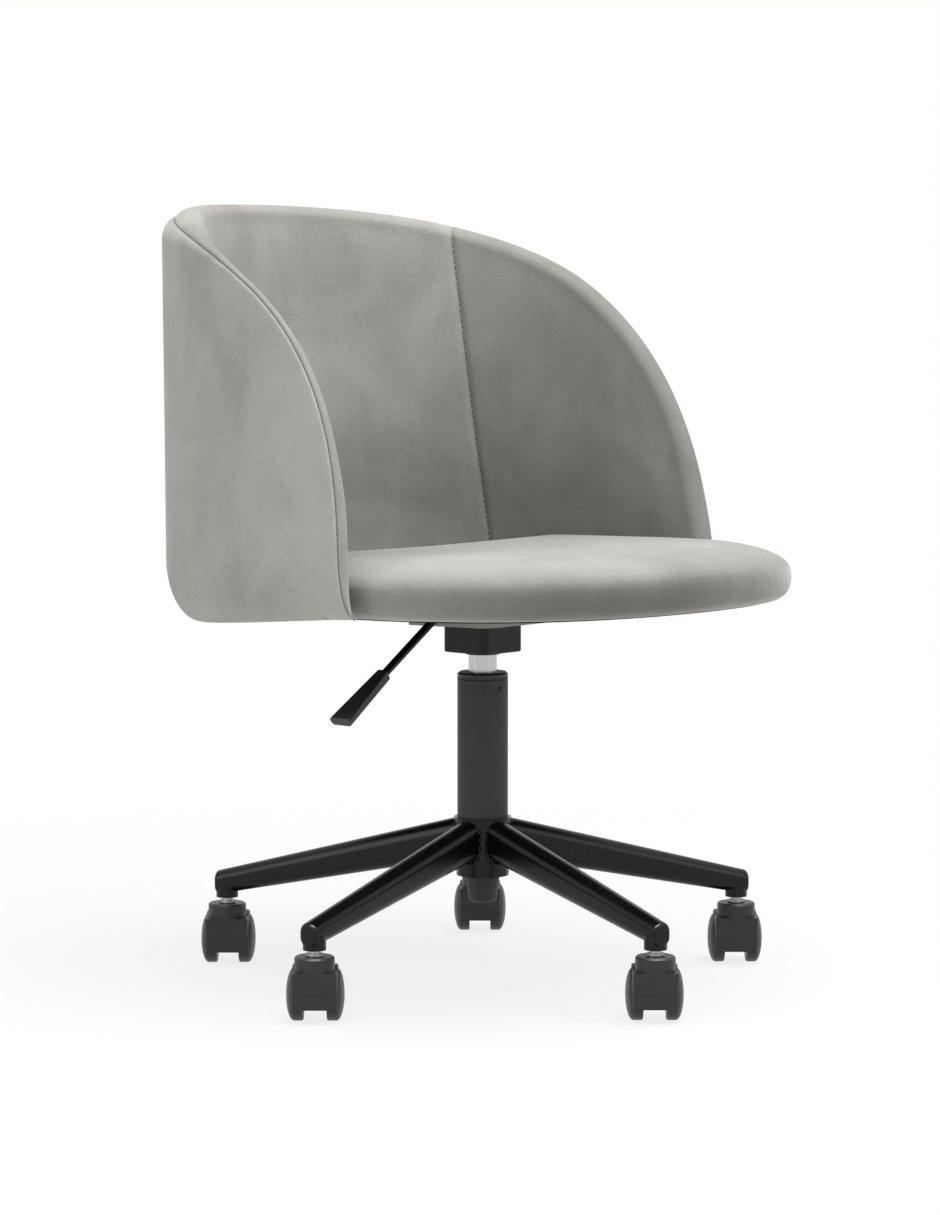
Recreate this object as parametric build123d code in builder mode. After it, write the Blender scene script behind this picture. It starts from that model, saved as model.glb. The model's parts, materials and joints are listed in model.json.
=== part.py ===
"""Swivel office chair: an upholstered tub seat on a gas column and a five-arm base with twin-wheel casters.

Origin on the floor under the column, +Z up. The sitter faces -Y and has the right hand at -X.
"""
import os
from math import cos, radians, sin, tan

from build123d import *

os.makedirs("parts", exist_ok=True)

# Casters
wheel_diameter = 50.0
wheel_width = 16.5
wheel_gap = 22.0  # between the twin wheels
wheel_dome = 8.0  # how far the outer face rounds over
wheel_cap = 3.0  # closed outer end of the wheel's bore
tread_chamfer = 1.2
axle_diameter = 6.0
axle_bite = 10.5  # axle inside each wheel
caster_trail = 17.0  # stem axis to wheel axle
caster_heading = 42.1  # degrees, the way the wheels trail at rest
hood_width = 43.0
hood_round = 2.0
hood_thickness = 2.6
hood_rise = 14.0  # floor to the hood's lower edge
hood_tail = 13.0  # how far behind the axle the wheel cover reaches down
collar_diameter = 38.0
collar_top = 64.0
collar_height = 14.0
hood_nose = 0.6  # share of its height that the hood's front stays upright
collar_chamfer = 1.5
stem_diameter = 11.0
stem_depth = 26.0  # stem inside the hood
stem_chamfer = 1.0
stem_flange_diameter = 17.0
stem_flange_thickness = 2.0
stem_flange_gap = 0.8  # above the collar

# Five-arm base
arm_count = 5
arm_heading = 42.5  # degrees, the first arm
base_radius = 271.0  # column axis to stem axis
arm_root_width = 28.0
arm_root_height = 41.0
arm_end_width = 20.0
arm_end_height = 24.0
arm_flat = 1.0  # left between the roundings of an arm's section
socket_diameter = 22.0
socket_foot = 70.0  # floor to the socket's lower face
socket_height = 27.0
arm_end_round = 4.0
insert_wall = 1.6
insert_depth = 25.0
hub_foot = 106.0
hub_top = 164.0
hub_wall = 2.2
hub_taper = 1.2  # the column's radius lost through the hub
hub_collar_height = 12.0
hub_collar_step = 1.0

# Gas column
column_diameter = 50.0
column_wall = 2.0
lift_gap = 23.5  # column top to the mechanism at rest
column_floor = 6.0
tip_drop = 27.0  # hub's lower face to the tip
tip_root_diameter = 34.0
tip_end_diameter = 27.0
tip_round = 5.0
tip_bore = 15.0
bush_flange = 4.0
bush_length = 104.0
cylinder_diameter = 28.0
cylinder_wall = 1.5
cylinder_foot = 150.0
cylinder_foot_wall = 14.0
cylinder_head_wall = 25.0
taper_loss = 0.75  # radius lost over the cylinder's top taper
rod_diameter = 10.0
rod_foot = 84.0
rod_shoulder_diameter = 20.0
rod_shoulder_height = 3.0
rod_groove = 1.0
piston_drop = 46.0  # below the column's top
piston_height = 14.0
piston_grip = 6.0
race_diameter = 30.0
race_thickness = 2.0
ball_diameter = 4.0
ball_circle = 21.0
ball_count = 8
clip_diameter = 13.6
clip_thickness = 1.5

# Mechanism under the seat
housing_width = 57.0
housing_drop = 49.5  # seat's underside to the housing's lower face
housing_wall = 3.0
housing_round = 6.0
housing_foot_round = 2.0
cone_lip = 2.0  # the cone below the housing
cone_wall = 3.5
plate_width = 148.0
plate_round = 16.0
plate_thickness = 2.5
pan_width = 112.0
pan_depth = 20.0
pan_round = 14.0
pan_hole_diameter = 24.0  # over the gas cylinder
bolt_reach = 64.0  # column axis to a bolt, along X and along Y
bolt_diameter = 6.0
bolt_head_diameter = 12.0
bolt_head_height = 4.5
nut_wall = 1.2
nut_flange_diameter = 18.0
nut_flange_thickness = 1.5
pin_diameter = 8.0
pin_rise = 5.6  # above the cylinder
pin_length = 25.0
lever_arm = 30.0  # pivot to the release pin
lever_diameter = 8.0
lever_overrun = 5.0  # past the release pin
lever_knee = 69.0  # column axis to the bend
lever_bend = 12.0
lever_droop = 34.0  # degrees
lever_reach = 110.0  # along the drooping length
lever_boss_diameter = 12.0
lever_boss_length = 14.0
lever_pull = 6.0  # degrees, full pull
pivot_diameter = 5.0
ear_thickness = 3.0
ear_width = 16.0
paddle_length = 72.0
paddle_root_width = 13.0
paddle_root_height = 12.0
paddle_end_width = 26.0
paddle_end_height = 9.0
paddle_grip = 22.0  # lever inside the paddle
paddle_round = 3.5

# Seat
seat_height = 377.0  # floor to the seat's underside at the column
seat_tilt = 1.5  # degrees
seat_front = 300.0  # column axis to the seat's front
seat_front_start = 75.0  # where the front starts to round
seat_edge = 48.5
seat_crown = 3.0
seat_slope = 4.8  # degrees, the top falls to the back
seat_slope_start = 60.0  # column axis back to where the fall starts
seat_front_fullness = 0.65
seat_crown_run = 120.0  # from the top edge in to the crown
seat_full_line = 0.5  # the fullest line's share of the edge height
seat_foot_round = 18.0
seat_top_round = 26.0
board_thickness = 12.0
board_inset = 26.0
dust_thickness = 1.0
dust_inset = 22.0

# Tub back
tub_drop = 2.0  # the tub's lower edge below the seat's underside
tub_tilt = 4.9  # degrees
tub_half_width = 281.0
tub_back = 322.0
tub_lean = 6.3  # degrees, the walls lean in
tub_rise = 432.0
edge_front = 75.0  # foot of the wing's front edge
edge_waist = 58.0
edge_shoulder = 89.0
edge_crest_start = 137.0
edge_crest_end = 520.0
cover_thickness = 6.0
frame_thickness = 9.0
pad_thickness = 11.0
edge_wrap = 12.0  # the lining's wrap over the edge
bottom_lip = 3.0
frame_lift = 30.0  # the frame's lower edge above the tub's
foot_rise = 64.0  # where the outer face starts to roll in to its lower edge
seam_angle = 32.0  # degrees from the side, where the lining panels meet
bracket_thickness = 3.0
bracket_width = 50.0
bracket_rise = 52.0
bracket_reach = 70.0
bracket_hole_rise = 43.0
bracket_hole_pitch = 28.0
screw_diameter = 3.5
screw_head_diameter = 7.0
screw_head_height = 2.0
screw_length = 9.0

# Clearances
running_clearance = 0.05
piston_clearance = 0.08
web_clearance = 0.6
tread_clearance = 1.0
ball_clearance = 0.05
pin_clearance = 0.3
lever_side_clearance = 0.5
slot_clearance = 1.6
cushion_clearance = 2.0
notch_clearance = 1.0
eps = 1.0  # a cutting tool's reach past the face it cuts

wheel_radius = wheel_diameter / 2
stem_radius = stem_diameter / 2
column_radius = column_diameter / 2
cylinder_radius = cylinder_diameter / 2
rod_radius = rod_diameter / 2


def keep(builder, name):
    """Label a finished piece and write it."""
    builder.part.label = name
    export_step(builder.part, f"parts/{name}.step")


def turned(*points):
    """Solid of revolution about Z from (radius, height) points."""
    with BuildPart() as body:
        with BuildSketch(Plane.XZ):
            with BuildLine():
                Polyline(*points, close=True)
            make_face()
        revolve(axis=Axis.Z)
    return body.part


# Heights that follow the seat's
housing_foot = seat_height - housing_drop
column_top = housing_foot - lift_gap
piston_foot = column_top - piston_drop
tub_height = seat_height - tub_drop

# Caster pieces, in the caster's own frame: stem on Z, axle along X, wheels trailing to +Y
stem_top = socket_foot + insert_depth
stem_foot = collar_top - stem_depth
hood_outer = wheel_radius + tread_clearance + hood_thickness
nose_reach = caster_trail + collar_diameter / 2
nose_rise = collar_top - collar_height - wheel_radius
web_half = wheel_gap / 2 - web_clearance
wheel_inner = wheel_gap / 2
wheel_outer = wheel_inner + wheel_width
bore_end = wheel_outer - wheel_cap
axle_plane = Plane(origin=(0, caster_trail, wheel_radius), x_dir=(0, 1, 0), z_dir=(1, 0, 0))

with BuildPart() as stem:
    with BuildSketch(Plane.XY.offset(stem_foot)):
        Circle(stem_radius)
    extrude(amount=stem_top - stem_foot)
    chamfer(stem.edges().group_by(Axis.Z)[-1], stem_chamfer)
    with BuildSketch(Plane.XY.offset(collar_top + stem_flange_gap)):
        Circle(stem_flange_diameter / 2)
    extrude(amount=stem_flange_thickness)

with BuildPart() as hood:
    with BuildSketch(axle_plane):
        Circle(hood_outer)
        with BuildLine():
            front = Bezier(
                (-nose_reach, nose_rise),
                (-nose_reach, nose_rise * (1 - hood_nose)),
                (-hood_outer, nose_rise * (1 - hood_nose)),
                (-hood_outer, 0),
            )
            Polyline(front @ 1, (0, 0), (0, nose_rise), front @ 0)
        make_face()
    extrude(amount=hood_width / 2, both=True)
    fillet(hood.faces().filter_by(Axis.X).edges().filter_by(GeomType.CIRCLE), hood_round)
    with BuildSketch(Plane.XY.offset(collar_top - collar_height)):
        Circle(collar_diameter / 2)
    extrude(amount=collar_height)
    chamfer(hood.edges().group_by(Axis.Z)[-1], collar_chamfer)
    for side in (-1, 1):
        with BuildSketch(axle_plane.offset(side * web_half)):
            Circle(wheel_radius + tread_clearance)
            with Locations((hood_tail + hood_outer, 0)):
                Rectangle(2 * hood_outer, 2 * wheel_radius)
        extrude(amount=side * hood_width, mode=Mode.SUBTRACT)
    with BuildSketch(Plane.XY.offset(hood_rise)):
        Rectangle(2 * hood_width, 4 * hood_outer)
    extrude(amount=-wheel_diameter, mode=Mode.SUBTRACT)
    with BuildSketch(Plane.XY.offset(stem_foot)):
        Circle(stem_radius + running_clearance)
    extrude(amount=stem_depth + eps, mode=Mode.SUBTRACT)
    with BuildSketch(axle_plane):
        Circle(axle_diameter / 2)
    extrude(amount=hood_width, both=True, mode=Mode.SUBTRACT)

with BuildPart() as axle:
    with BuildSketch(axle_plane):
        Circle(axle_diameter / 2)
    extrude(amount=wheel_inner + axle_bite, both=True)

with BuildPart() as wheel_left:
    wheel_axis = Axis(axle_plane.origin, (1, 0, 0))
    with BuildSketch(Plane(origin=axle_plane.origin, x_dir=(1, 0, 0), z_dir=(0, -1, 0))):
        with BuildLine():
            face = Polyline(
                (bore_end, 0),
                (bore_end, axle_diameter / 2 + running_clearance),
                (wheel_inner, axle_diameter / 2 + running_clearance),
                (wheel_inner, wheel_radius - tread_chamfer),
                (wheel_inner + tread_chamfer, wheel_radius),
                (wheel_outer - wheel_dome, wheel_radius),
            )
            dome = Bezier(
                face @ 1,
                (wheel_outer - wheel_dome / 3, wheel_radius),
                (wheel_outer, wheel_radius / 2),
                (wheel_outer, 0),
            )
            Line(dome @ 1, (bore_end, 0))
        make_face()
    revolve(axis=wheel_axis)

with BuildPart() as wheel_right:
    add(wheel_left.part)
    mirror(about=Plane.YZ, mode=Mode.REPLACE)

caster_pieces = {
    "caster_stem": stem,
    "caster_hood": hood,
    "caster_axle": axle,
    "caster_wheel_left": wheel_left,
    "caster_wheel_right": wheel_right,
}

# Base hub: the tapered sleeve that the arms are welded to
hub_bore_foot = column_radius - hub_taper
hub_foot_radius = hub_bore_foot + hub_wall
hub_top_radius = column_radius + hub_wall
hub_outside = turned(
    (0, hub_foot),
    (hub_foot_radius, hub_foot),
    (hub_top_radius, hub_top - hub_collar_height),
    (hub_top_radius + hub_collar_step, hub_top - hub_collar_height),
    (hub_top_radius + hub_collar_step, hub_top),
    (0, hub_top),
)
hub_bore = turned((0, hub_foot), (hub_bore_foot, hub_foot), (column_radius, hub_top), (0, hub_top))

with BuildPart() as base_hub:
    add(hub_outside)
    add(hub_bore, mode=Mode.SUBTRACT)
keep(base_hub, "base_hub")

# One arm along +X: a tapering oval tube with the caster socket welded to its end
socket_top = socket_foot + socket_height
arm_root_centre = hub_top - hub_collar_step - arm_root_height / 2
arm_end_centre = socket_top - hub_collar_step - arm_end_height / 2
arm_reach = base_radius + socket_diameter / 2
insert_radius = stem_radius + insert_wall

with BuildPart() as arm:
    with BuildSketch(Plane.YZ.offset(hub_bore_foot)):
        with Locations((0, arm_root_centre)):
            RectangleRounded(arm_root_width, arm_root_height, (arm_root_width - arm_flat) / 2)
    with BuildSketch(Plane.YZ.offset(arm_reach)):
        with Locations((0, arm_end_centre)):
            RectangleRounded(arm_end_width, arm_end_height, (arm_end_width - arm_flat) / 2)
    loft()
    fillet(arm.faces().sort_by(Axis.X)[-1].edges(), arm_end_round)
    with BuildSketch(Plane.XY.offset(socket_foot)):
        with Locations((base_radius, 0)):
            Circle(socket_diameter / 2)
    extrude(amount=arm_end_centre - socket_foot)
    with BuildSketch(Plane.XY.offset(socket_foot)):
        with Locations((base_radius, 0)):
            Circle(insert_radius)
    extrude(amount=insert_depth, mode=Mode.SUBTRACT)
    add(hub_outside, mode=Mode.SUBTRACT)

with BuildPart() as socket_inserts:
    with PolarLocations(base_radius, arm_count, start_angle=arm_heading):
        with Locations((0, 0, socket_foot)):
            Cylinder(insert_radius, insert_depth, align=(Align.CENTER, Align.CENTER, Align.MIN))
            Cylinder(
                stem_radius,
                insert_depth,
                align=(Align.CENTER, Align.CENTER, Align.MIN),
                mode=Mode.SUBTRACT,
            )
keep(socket_inserts, "socket_inserts")

for index in range(arm_count):
    number = index + 1
    arm_angle = arm_heading + index * 360.0 / arm_count
    with BuildPart() as base_arm:
        with Locations(Location((0, 0, 0), (0, 0, arm_angle))):
            add(arm.part)
    keep(base_arm, f"base_arm_{number}")
    stem_foot_place = (base_radius * cos(radians(arm_angle)), base_radius * sin(radians(arm_angle)), 0)
    for piece_name, piece in caster_pieces.items():
        with BuildPart() as placed:
            with Locations(Location(stem_foot_place, (0, 0, caster_heading - 90))):
                add(piece.part)
        keep(placed, f"{piece_name}_{number}")

# Gas column: outer tube with its tapered seat and tip
column_inside = column_radius - column_wall
floor_top = hub_foot + column_floor
tip_foot = hub_foot - tip_drop
with BuildPart() as column_tube:
    add(
        turned(
            (rod_radius + running_clearance, floor_top),
            (rod_radius + running_clearance, hub_foot),
            (tip_bore / 2, hub_foot),
            (tip_bore / 2, tip_foot),
            (tip_end_diameter / 2, tip_foot),
            (tip_root_diameter / 2, hub_foot),
            (hub_bore_foot, hub_foot),
            (column_radius, hub_top),
            (column_radius, column_top),
            (column_inside, column_top),
            (column_inside, hub_top),
            (hub_bore_foot - column_wall, floor_top),
        )
    )
    fillet(column_tube.edges().group_by(Axis.Z)[0].sort_by(SortBy.LENGTH)[-1], tip_round)
keep(column_tube, "column_tube")

with BuildPart() as guide_bush:
    add(
        turned(
            (cylinder_radius + running_clearance, column_top - bush_length),
            (column_inside, column_top - bush_length),
            (column_inside, column_top),
            (column_radius, column_top),
            (column_radius, column_top + bush_flange),
            (cylinder_radius + running_clearance, column_top + bush_flange),
        )
    )
    chamfer(guide_bush.edges().group_by(Axis.Z)[-1].sort_by(SortBy.LENGTH)[-1], bush_flange / 2)
keep(guide_bush, "guide_bush")

# Thrust bearing on the column's floor
lower_race_top = floor_top + race_thickness
upper_race_foot = lower_race_top + ball_diameter
upper_race_top = upper_race_foot + race_thickness
for race_name, race_foot in (("bearing_lower_race", floor_top), ("bearing_upper_race", upper_race_foot)):
    with BuildPart() as race:
        with BuildSketch(Plane.XY.offset(race_foot)):
            Circle(race_diameter / 2)
            Circle(rod_radius + running_clearance, mode=Mode.SUBTRACT)
        extrude(amount=race_thickness)
    keep(race, race_name)

with BuildPart() as bearing_balls:
    with PolarLocations(ball_circle / 2, ball_count):
        with Locations((0, 0, lower_race_top + ball_diameter / 2)):
            Sphere(ball_diameter / 2 - ball_clearance)
keep(bearing_balls, "bearing_balls")

# Piston rod with the shoulder that turns on the bearing, its clip and its piston
clip_top = hub_foot
clip_foot = clip_top - clip_thickness
rod_top = piston_foot + piston_grip
with BuildPart() as piston_rod:
    add(
        turned(
            (0, rod_foot),
            (rod_radius, rod_foot),
            (rod_radius, clip_foot),
            (rod_radius - rod_groove, clip_foot),
            (rod_radius - rod_groove, clip_top),
            (rod_radius, clip_top),
            (rod_radius, upper_race_top),
            (rod_shoulder_diameter / 2, upper_race_top),
            (rod_shoulder_diameter / 2, upper_race_top + rod_shoulder_height),
            (rod_radius, upper_race_top + rod_shoulder_height),
            (rod_radius, rod_top),
            (0, rod_top),
        )
    )
keep(piston_rod, "piston_rod")

with BuildPart() as rod_clip:
    with BuildSketch(Plane.XY.offset(clip_foot)):
        Circle(clip_diameter / 2)
        Circle(rod_radius - rod_groove, mode=Mode.SUBTRACT)
        with Locations((clip_diameter / 2, 0)):
            Rectangle(clip_diameter, rod_radius, mode=Mode.SUBTRACT)
    extrude(amount=clip_thickness)
keep(rod_clip, "rod_clip")

cylinder_bore = cylinder_radius - cylinder_wall
with BuildPart() as piston:
    with BuildSketch(Plane.XY.offset(piston_foot)):
        Circle(cylinder_bore - piston_clearance)
    extrude(amount=piston_height)
    with BuildSketch(Plane.XY.offset(piston_foot)):
        Circle(rod_radius)
    extrude(amount=piston_grip, mode=Mode.SUBTRACT)
keep(piston, "piston")

# Gas cylinder, wedged in the mechanism's cone
seat_plane = Plane(
    origin=(0, 0, seat_height),
    x_dir=(1, 0, 0),
    z_dir=(0, sin(radians(seat_tilt)), cos(radians(seat_tilt))),
)
plate_top = -dust_thickness
plate_foot = plate_top - plate_thickness
pan_foot = plate_top - pan_depth
tilt_spread = housing_width / 2 * tan(radians(seat_tilt))
cone_foot = housing_foot - cone_lip
cylinder_top = seat_height + pan_foot - tilt_spread
head_radius = cylinder_radius - taper_loss
with BuildPart() as gas_cylinder:
    add(
        turned(
            (rod_radius + running_clearance, cylinder_foot),
            (cylinder_radius, cylinder_foot),
            (cylinder_radius, cone_foot),
            (head_radius, cylinder_top),
            (pin_diameter / 2 + running_clearance, cylinder_top),
            (pin_diameter / 2 + running_clearance, cylinder_top - cylinder_head_wall),
            (cylinder_bore, cylinder_top - cylinder_head_wall),
            (cylinder_bore, cylinder_foot + cylinder_foot_wall),
            (rod_radius + running_clearance, cylinder_foot + cylinder_foot_wall),
        )
    )
keep(gas_cylinder, "gas_cylinder")

pin_top = cylinder_top + pin_rise
with BuildPart() as release_pin:
    with BuildSketch(Plane.XY.offset(pin_top)):
        Circle(pin_diameter / 2)
    extrude(amount=-pin_length)
keep(release_pin, "release_pin")

# Mechanism housing: a folded box round the cone, cut off by the sloping plate above it
with BuildPart() as mechanism_housing:
    with BuildSketch(Plane.XY.offset(housing_foot)):
        RectangleRounded(housing_width, housing_width, housing_round)
    extrude(amount=2 * pan_depth + housing_width)
    split(bisect_by=seat_plane.offset(pan_foot), keep=Keep.BOTTOM)
    fillet(mechanism_housing.faces().sort_by(Axis.Z)[0].edges(), housing_foot_round)
    with BuildSketch(Plane.XY.offset(housing_foot)):
        inside = housing_width - 2 * housing_wall
        RectangleRounded(inside, inside, housing_round - housing_wall)
    extrude(amount=cylinder_top - housing_wall - housing_foot, mode=Mode.SUBTRACT)
    with BuildSketch(Plane.XY.offset(cone_foot)):
        Circle(cylinder_radius + cone_wall)
    extrude(amount=cylinder_top - cone_foot)
    add(
        turned(
            (0, cone_foot),
            (cylinder_radius, cone_foot),
            (head_radius, cylinder_top),
            (head_radius, seat_height),
            (0, seat_height),
        ),
        mode=Mode.SUBTRACT,
    )
keep(mechanism_housing, "mechanism_housing")

# Mounting plate: a pressed pan with a flange under the seat, ears for the lever, and a slot for it
lever_line = pin_top + pin_clearance + lever_diameter / 2
ear_inner = lever_boss_length / 2 + lever_side_clearance
slot_lift = (pan_width / 2 - lever_arm) * sin(radians(lever_pull))
pivot_axis_plane = Plane(origin=(-lever_arm, 0, lever_line), x_dir=(1, 0, 0), z_dir=(0, -1, 0))
with BuildPart() as mechanism_plate:
    with BuildSketch(seat_plane.offset(plate_top)):
        RectangleRounded(plate_width, plate_width, plate_round)
    extrude(amount=-plate_thickness)
    with BuildSketch(seat_plane.offset(plate_top)):
        RectangleRounded(pan_width, pan_width, pan_round)
    extrude(amount=-pan_depth)
    with BuildSketch(seat_plane.offset(plate_top)):
        pan_inside = pan_width - 2 * plate_thickness
        RectangleRounded(pan_inside, pan_inside, pan_round - plate_thickness)
    extrude(amount=plate_thickness - pan_depth, mode=Mode.SUBTRACT)
    for side in (-1, 1):
        with BuildSketch(pivot_axis_plane.offset(side * ear_inner)):
            Rectangle(ear_width, 2 * (lever_line - seat_height - pan_foot))
            Circle(ear_width / 2)
        extrude(amount=side * ear_thickness)
    split(bisect_by=seat_plane.offset(pan_foot), keep=Keep.TOP)
    split(bisect_by=seat_plane.offset(plate_top), keep=Keep.BOTTOM)
    with BuildSketch(pivot_axis_plane):
        Circle(pivot_diameter / 2)
    extrude(amount=lever_boss_length, both=True, mode=Mode.SUBTRACT)
    with BuildSketch(Plane.XY.offset(cone_foot)):
        Circle(pan_hole_diameter / 2)
    extrude(amount=seat_height, mode=Mode.SUBTRACT)
    with BuildSketch(Plane.YZ.offset(-pan_width / 2 - plate_thickness)):
        with Locations((0, lever_line + slot_lift / 2)):
            Rectangle(lever_diameter + 2 * slot_clearance, lever_diameter + slot_lift + 2 * slot_clearance)
    extrude(amount=3 * plate_thickness, mode=Mode.SUBTRACT)
    with BuildSketch(seat_plane):
        with GridLocations(2 * bolt_reach, 2 * bolt_reach, 2, 2):
            Circle(bolt_diameter / 2)
    extrude(amount=-pan_depth, mode=Mode.SUBTRACT)
keep(mechanism_plate, "mechanism_plate")

# Gas release lever: a bent rod with a welded pivot boss, its pin and its paddle
droop = (-cos(radians(lever_droop)), 0, -sin(radians(lever_droop)))
knee = (-lever_knee, 0, lever_line)


def along_droop(distance):
    """Section plane across the drooping part of the lever, local X along Y."""
    origin = (knee[0] + distance * droop[0], 0, knee[2] + distance * droop[2])
    return Plane(origin=origin, x_dir=(0, 1, 0), z_dir=droop)


rod_end = along_droop(lever_reach).origin
with BuildPart() as lever_rod:
    with BuildLine():
        lever_path = FilletPolyline((lever_overrun, 0, lever_line), knee, tuple(rod_end), radius=lever_bend)
    with BuildSketch(Plane(origin=lever_path @ 0, z_dir=lever_path % 0)):
        Circle(lever_diameter / 2)
    sweep()
    with BuildSketch(pivot_axis_plane):
        Circle(lever_boss_diameter / 2)
    extrude(amount=lever_boss_length / 2, both=True)
    with BuildSketch(pivot_axis_plane):
        Circle(pivot_diameter / 2 + running_clearance)
    extrude(amount=lever_boss_length, both=True, mode=Mode.SUBTRACT)
keep(lever_rod, "lever_rod")

with BuildPart() as lever_pin:
    with BuildSketch(pivot_axis_plane):
        Circle(pivot_diameter / 2)
    extrude(amount=ear_inner + ear_thickness, both=True)
keep(lever_pin, "lever_pin")

paddle_root = lever_reach - paddle_grip
with BuildPart() as lever_paddle:
    with BuildSketch(along_droop(paddle_root)):
        RectangleRounded(paddle_root_width, paddle_root_height, paddle_round)
    with BuildSketch(along_droop(paddle_root + paddle_length)):
        RectangleRounded(paddle_end_width, paddle_end_height, paddle_round)
    loft()
    with BuildSketch(along_droop(paddle_root)):
        Circle(lever_diameter / 2)
    extrude(amount=paddle_grip, mode=Mode.SUBTRACT)
keep(lever_paddle, "lever_paddle")

# Plate bolts and the tee nuts they pull against in the seat board
with BuildPart() as plate_bolts:
    with BuildSketch(seat_plane.offset(plate_foot)):
        with GridLocations(2 * bolt_reach, 2 * bolt_reach, 2, 2):
            RegularPolygon(bolt_head_diameter / 2, 6)
    extrude(amount=-bolt_head_height)
    with BuildSketch(seat_plane.offset(plate_foot)):
        with GridLocations(2 * bolt_reach, 2 * bolt_reach, 2, 2):
            Circle(bolt_diameter / 2)
    extrude(amount=board_thickness - plate_foot)
keep(plate_bolts, "plate_bolts")

with BuildPart() as tee_nuts:
    with BuildSketch(seat_plane):
        with GridLocations(2 * bolt_reach, 2 * bolt_reach, 2, 2):
            Circle(bolt_diameter / 2 + nut_wall)
    extrude(amount=board_thickness)
    with BuildSketch(seat_plane.offset(board_thickness)):
        with GridLocations(2 * bolt_reach, 2 * bolt_reach, 2, 2):
            Circle(nut_flange_diameter / 2)
    extrude(amount=-nut_flange_thickness)
    with BuildSketch(seat_plane):
        with GridLocations(2 * bolt_reach, 2 * bolt_reach, 2, 2):
            Circle(bolt_diameter / 2)
    extrude(amount=board_thickness, mode=Mode.SUBTRACT)
keep(tee_nuts, "tee_nuts")

# Outlines of the tub and of the seat inside it, drawn in by an inset
wall_thickness = cover_thickness + frame_thickness + pad_thickness
frame_inset = cover_thickness + frame_thickness
arc_centre = tub_back - tub_half_width
lean = tan(radians(tub_lean))
tub_foot = -2 * frame_lift
tub_top = tub_rise + edge_wrap
tub_mouth = edge_front + wall_thickness
seat_half_width = tub_half_width - wall_thickness - cushion_clearance - seat_edge * lean
seat_back = tub_back - wall_thickness - cushion_clearance
tub_plane = Plane(
    origin=(0, 0, tub_height),
    x_dir=(1, 0, 0),
    z_dir=(0, sin(radians(tub_tilt)), cos(radians(tub_tilt))),
)
tub_side = Plane(origin=tub_plane.origin, x_dir=tub_plane.y_dir, z_dir=(1, 0, 0))


def tub_outline(height, inset):
    """Horseshoe plan of the tub at a height, closed across its mouth."""
    half = tub_half_width - inset - height * lean
    depth = tub_half_width - inset
    with BuildSketch(tub_plane.offset(height)) as outline:
        with BuildLine():
            Line((half, -tub_mouth), (half, arc_centre))
            EllipticalCenterArc((0, arc_centre), half, depth, start_angle=0, arc_size=90)
            EllipticalCenterArc((0, arc_centre), half, depth, start_angle=90, arc_size=90)
            Polyline((-half, arc_centre), (-half, -tub_mouth), (half, -tub_mouth))
        make_face()
    return outline.sketch


def tub_volume(inset):
    """Everything inside the tub's wall surface at an inset."""
    with BuildPart() as volume:
        loft([tub_outline(tub_foot, inset), tub_outline(tub_top, inset)], ruled=True)
    return volume.part


def edge_volume(wrap):
    """Everything behind and below the tub's swept edge, moved in by a wrap."""
    with BuildPart() as volume:
        with BuildSketch(tub_side):
            with BuildLine():
                edge = Bezier(
                    (wrap - edge_front, -wrap),
                    (wrap - edge_waist, edge_shoulder - wrap),
                    (wrap - edge_crest_start, tub_rise - wrap),
                    (wrap + edge_crest_end, tub_rise - wrap),
                )
                Polyline(
                    edge @ 1,
                    (wrap + edge_crest_end, tub_foot),
                    (wrap - edge_front, tub_foot),
                    edge @ 0,
                )
            make_face()
        extrude(amount=tub_half_width - tub_foot, both=True)
    return volume.part


def seat_outline(height, inset):
    """Plan of the seat at a height: full round front, straight sides, half an ellipse behind."""
    half = seat_half_width - inset
    nose = seat_front - seat_front_start - inset
    tail = seat_back - arc_centre - inset
    with BuildSketch(seat_plane.offset(height)) as outline:
        with BuildLine():
            Line((half, -seat_front_start), (half, arc_centre))
            EllipticalCenterArc((0, arc_centre), half, tail, start_angle=0, arc_size=90)
            EllipticalCenterArc((0, arc_centre), half, tail, start_angle=90, arc_size=90)
            Line((-half, arc_centre), (-half, -seat_front_start))
            for side in (-1, 1):
                Bezier(
                    (side * half, -seat_front_start),
                    (side * half, -seat_front_start - seat_front_fullness * nose),
                    (side * seat_front_fullness * half, -seat_front_start - nose),
                    (0, -seat_front_start - nose),
                )
        make_face()
    return outline.sketch


def rolled_foot():
    """Plans of the tub's outer face where it rolls in to its lower edge."""
    sections = []
    for turn in (90, 70, 50, 35, 20, 0):
        height = foot_rise * (1 - sin(radians(turn)))
        sections.append(tub_outline(height, (wall_thickness - bottom_lip) * (1 - cos(radians(turn)))))
    return sections


with BuildPart() as tub_outside:
    loft(rolled_foot() + [tub_outline(tub_top, 0)], ruled=True)
frame_outside = tub_volume(cover_thickness)
frame_inside = tub_volume(frame_inset)
bracket_inside = tub_volume(frame_inset + bracket_thickness)
notch_inside = tub_volume(frame_inset + bracket_thickness + screw_head_height + notch_clearance)
pad_inside = tub_volume(wall_thickness)
edge_outside = edge_volume(0)
edge_inside = edge_volume(edge_wrap)

# Brackets that tie the tub's frame to the seat board, one at each side and one behind
foot_under = board_thickness
foot_top = foot_under + bracket_thickness
side_foot = seat_half_width - bracket_reach
rear_foot = seat_back - bracket_reach


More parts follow.
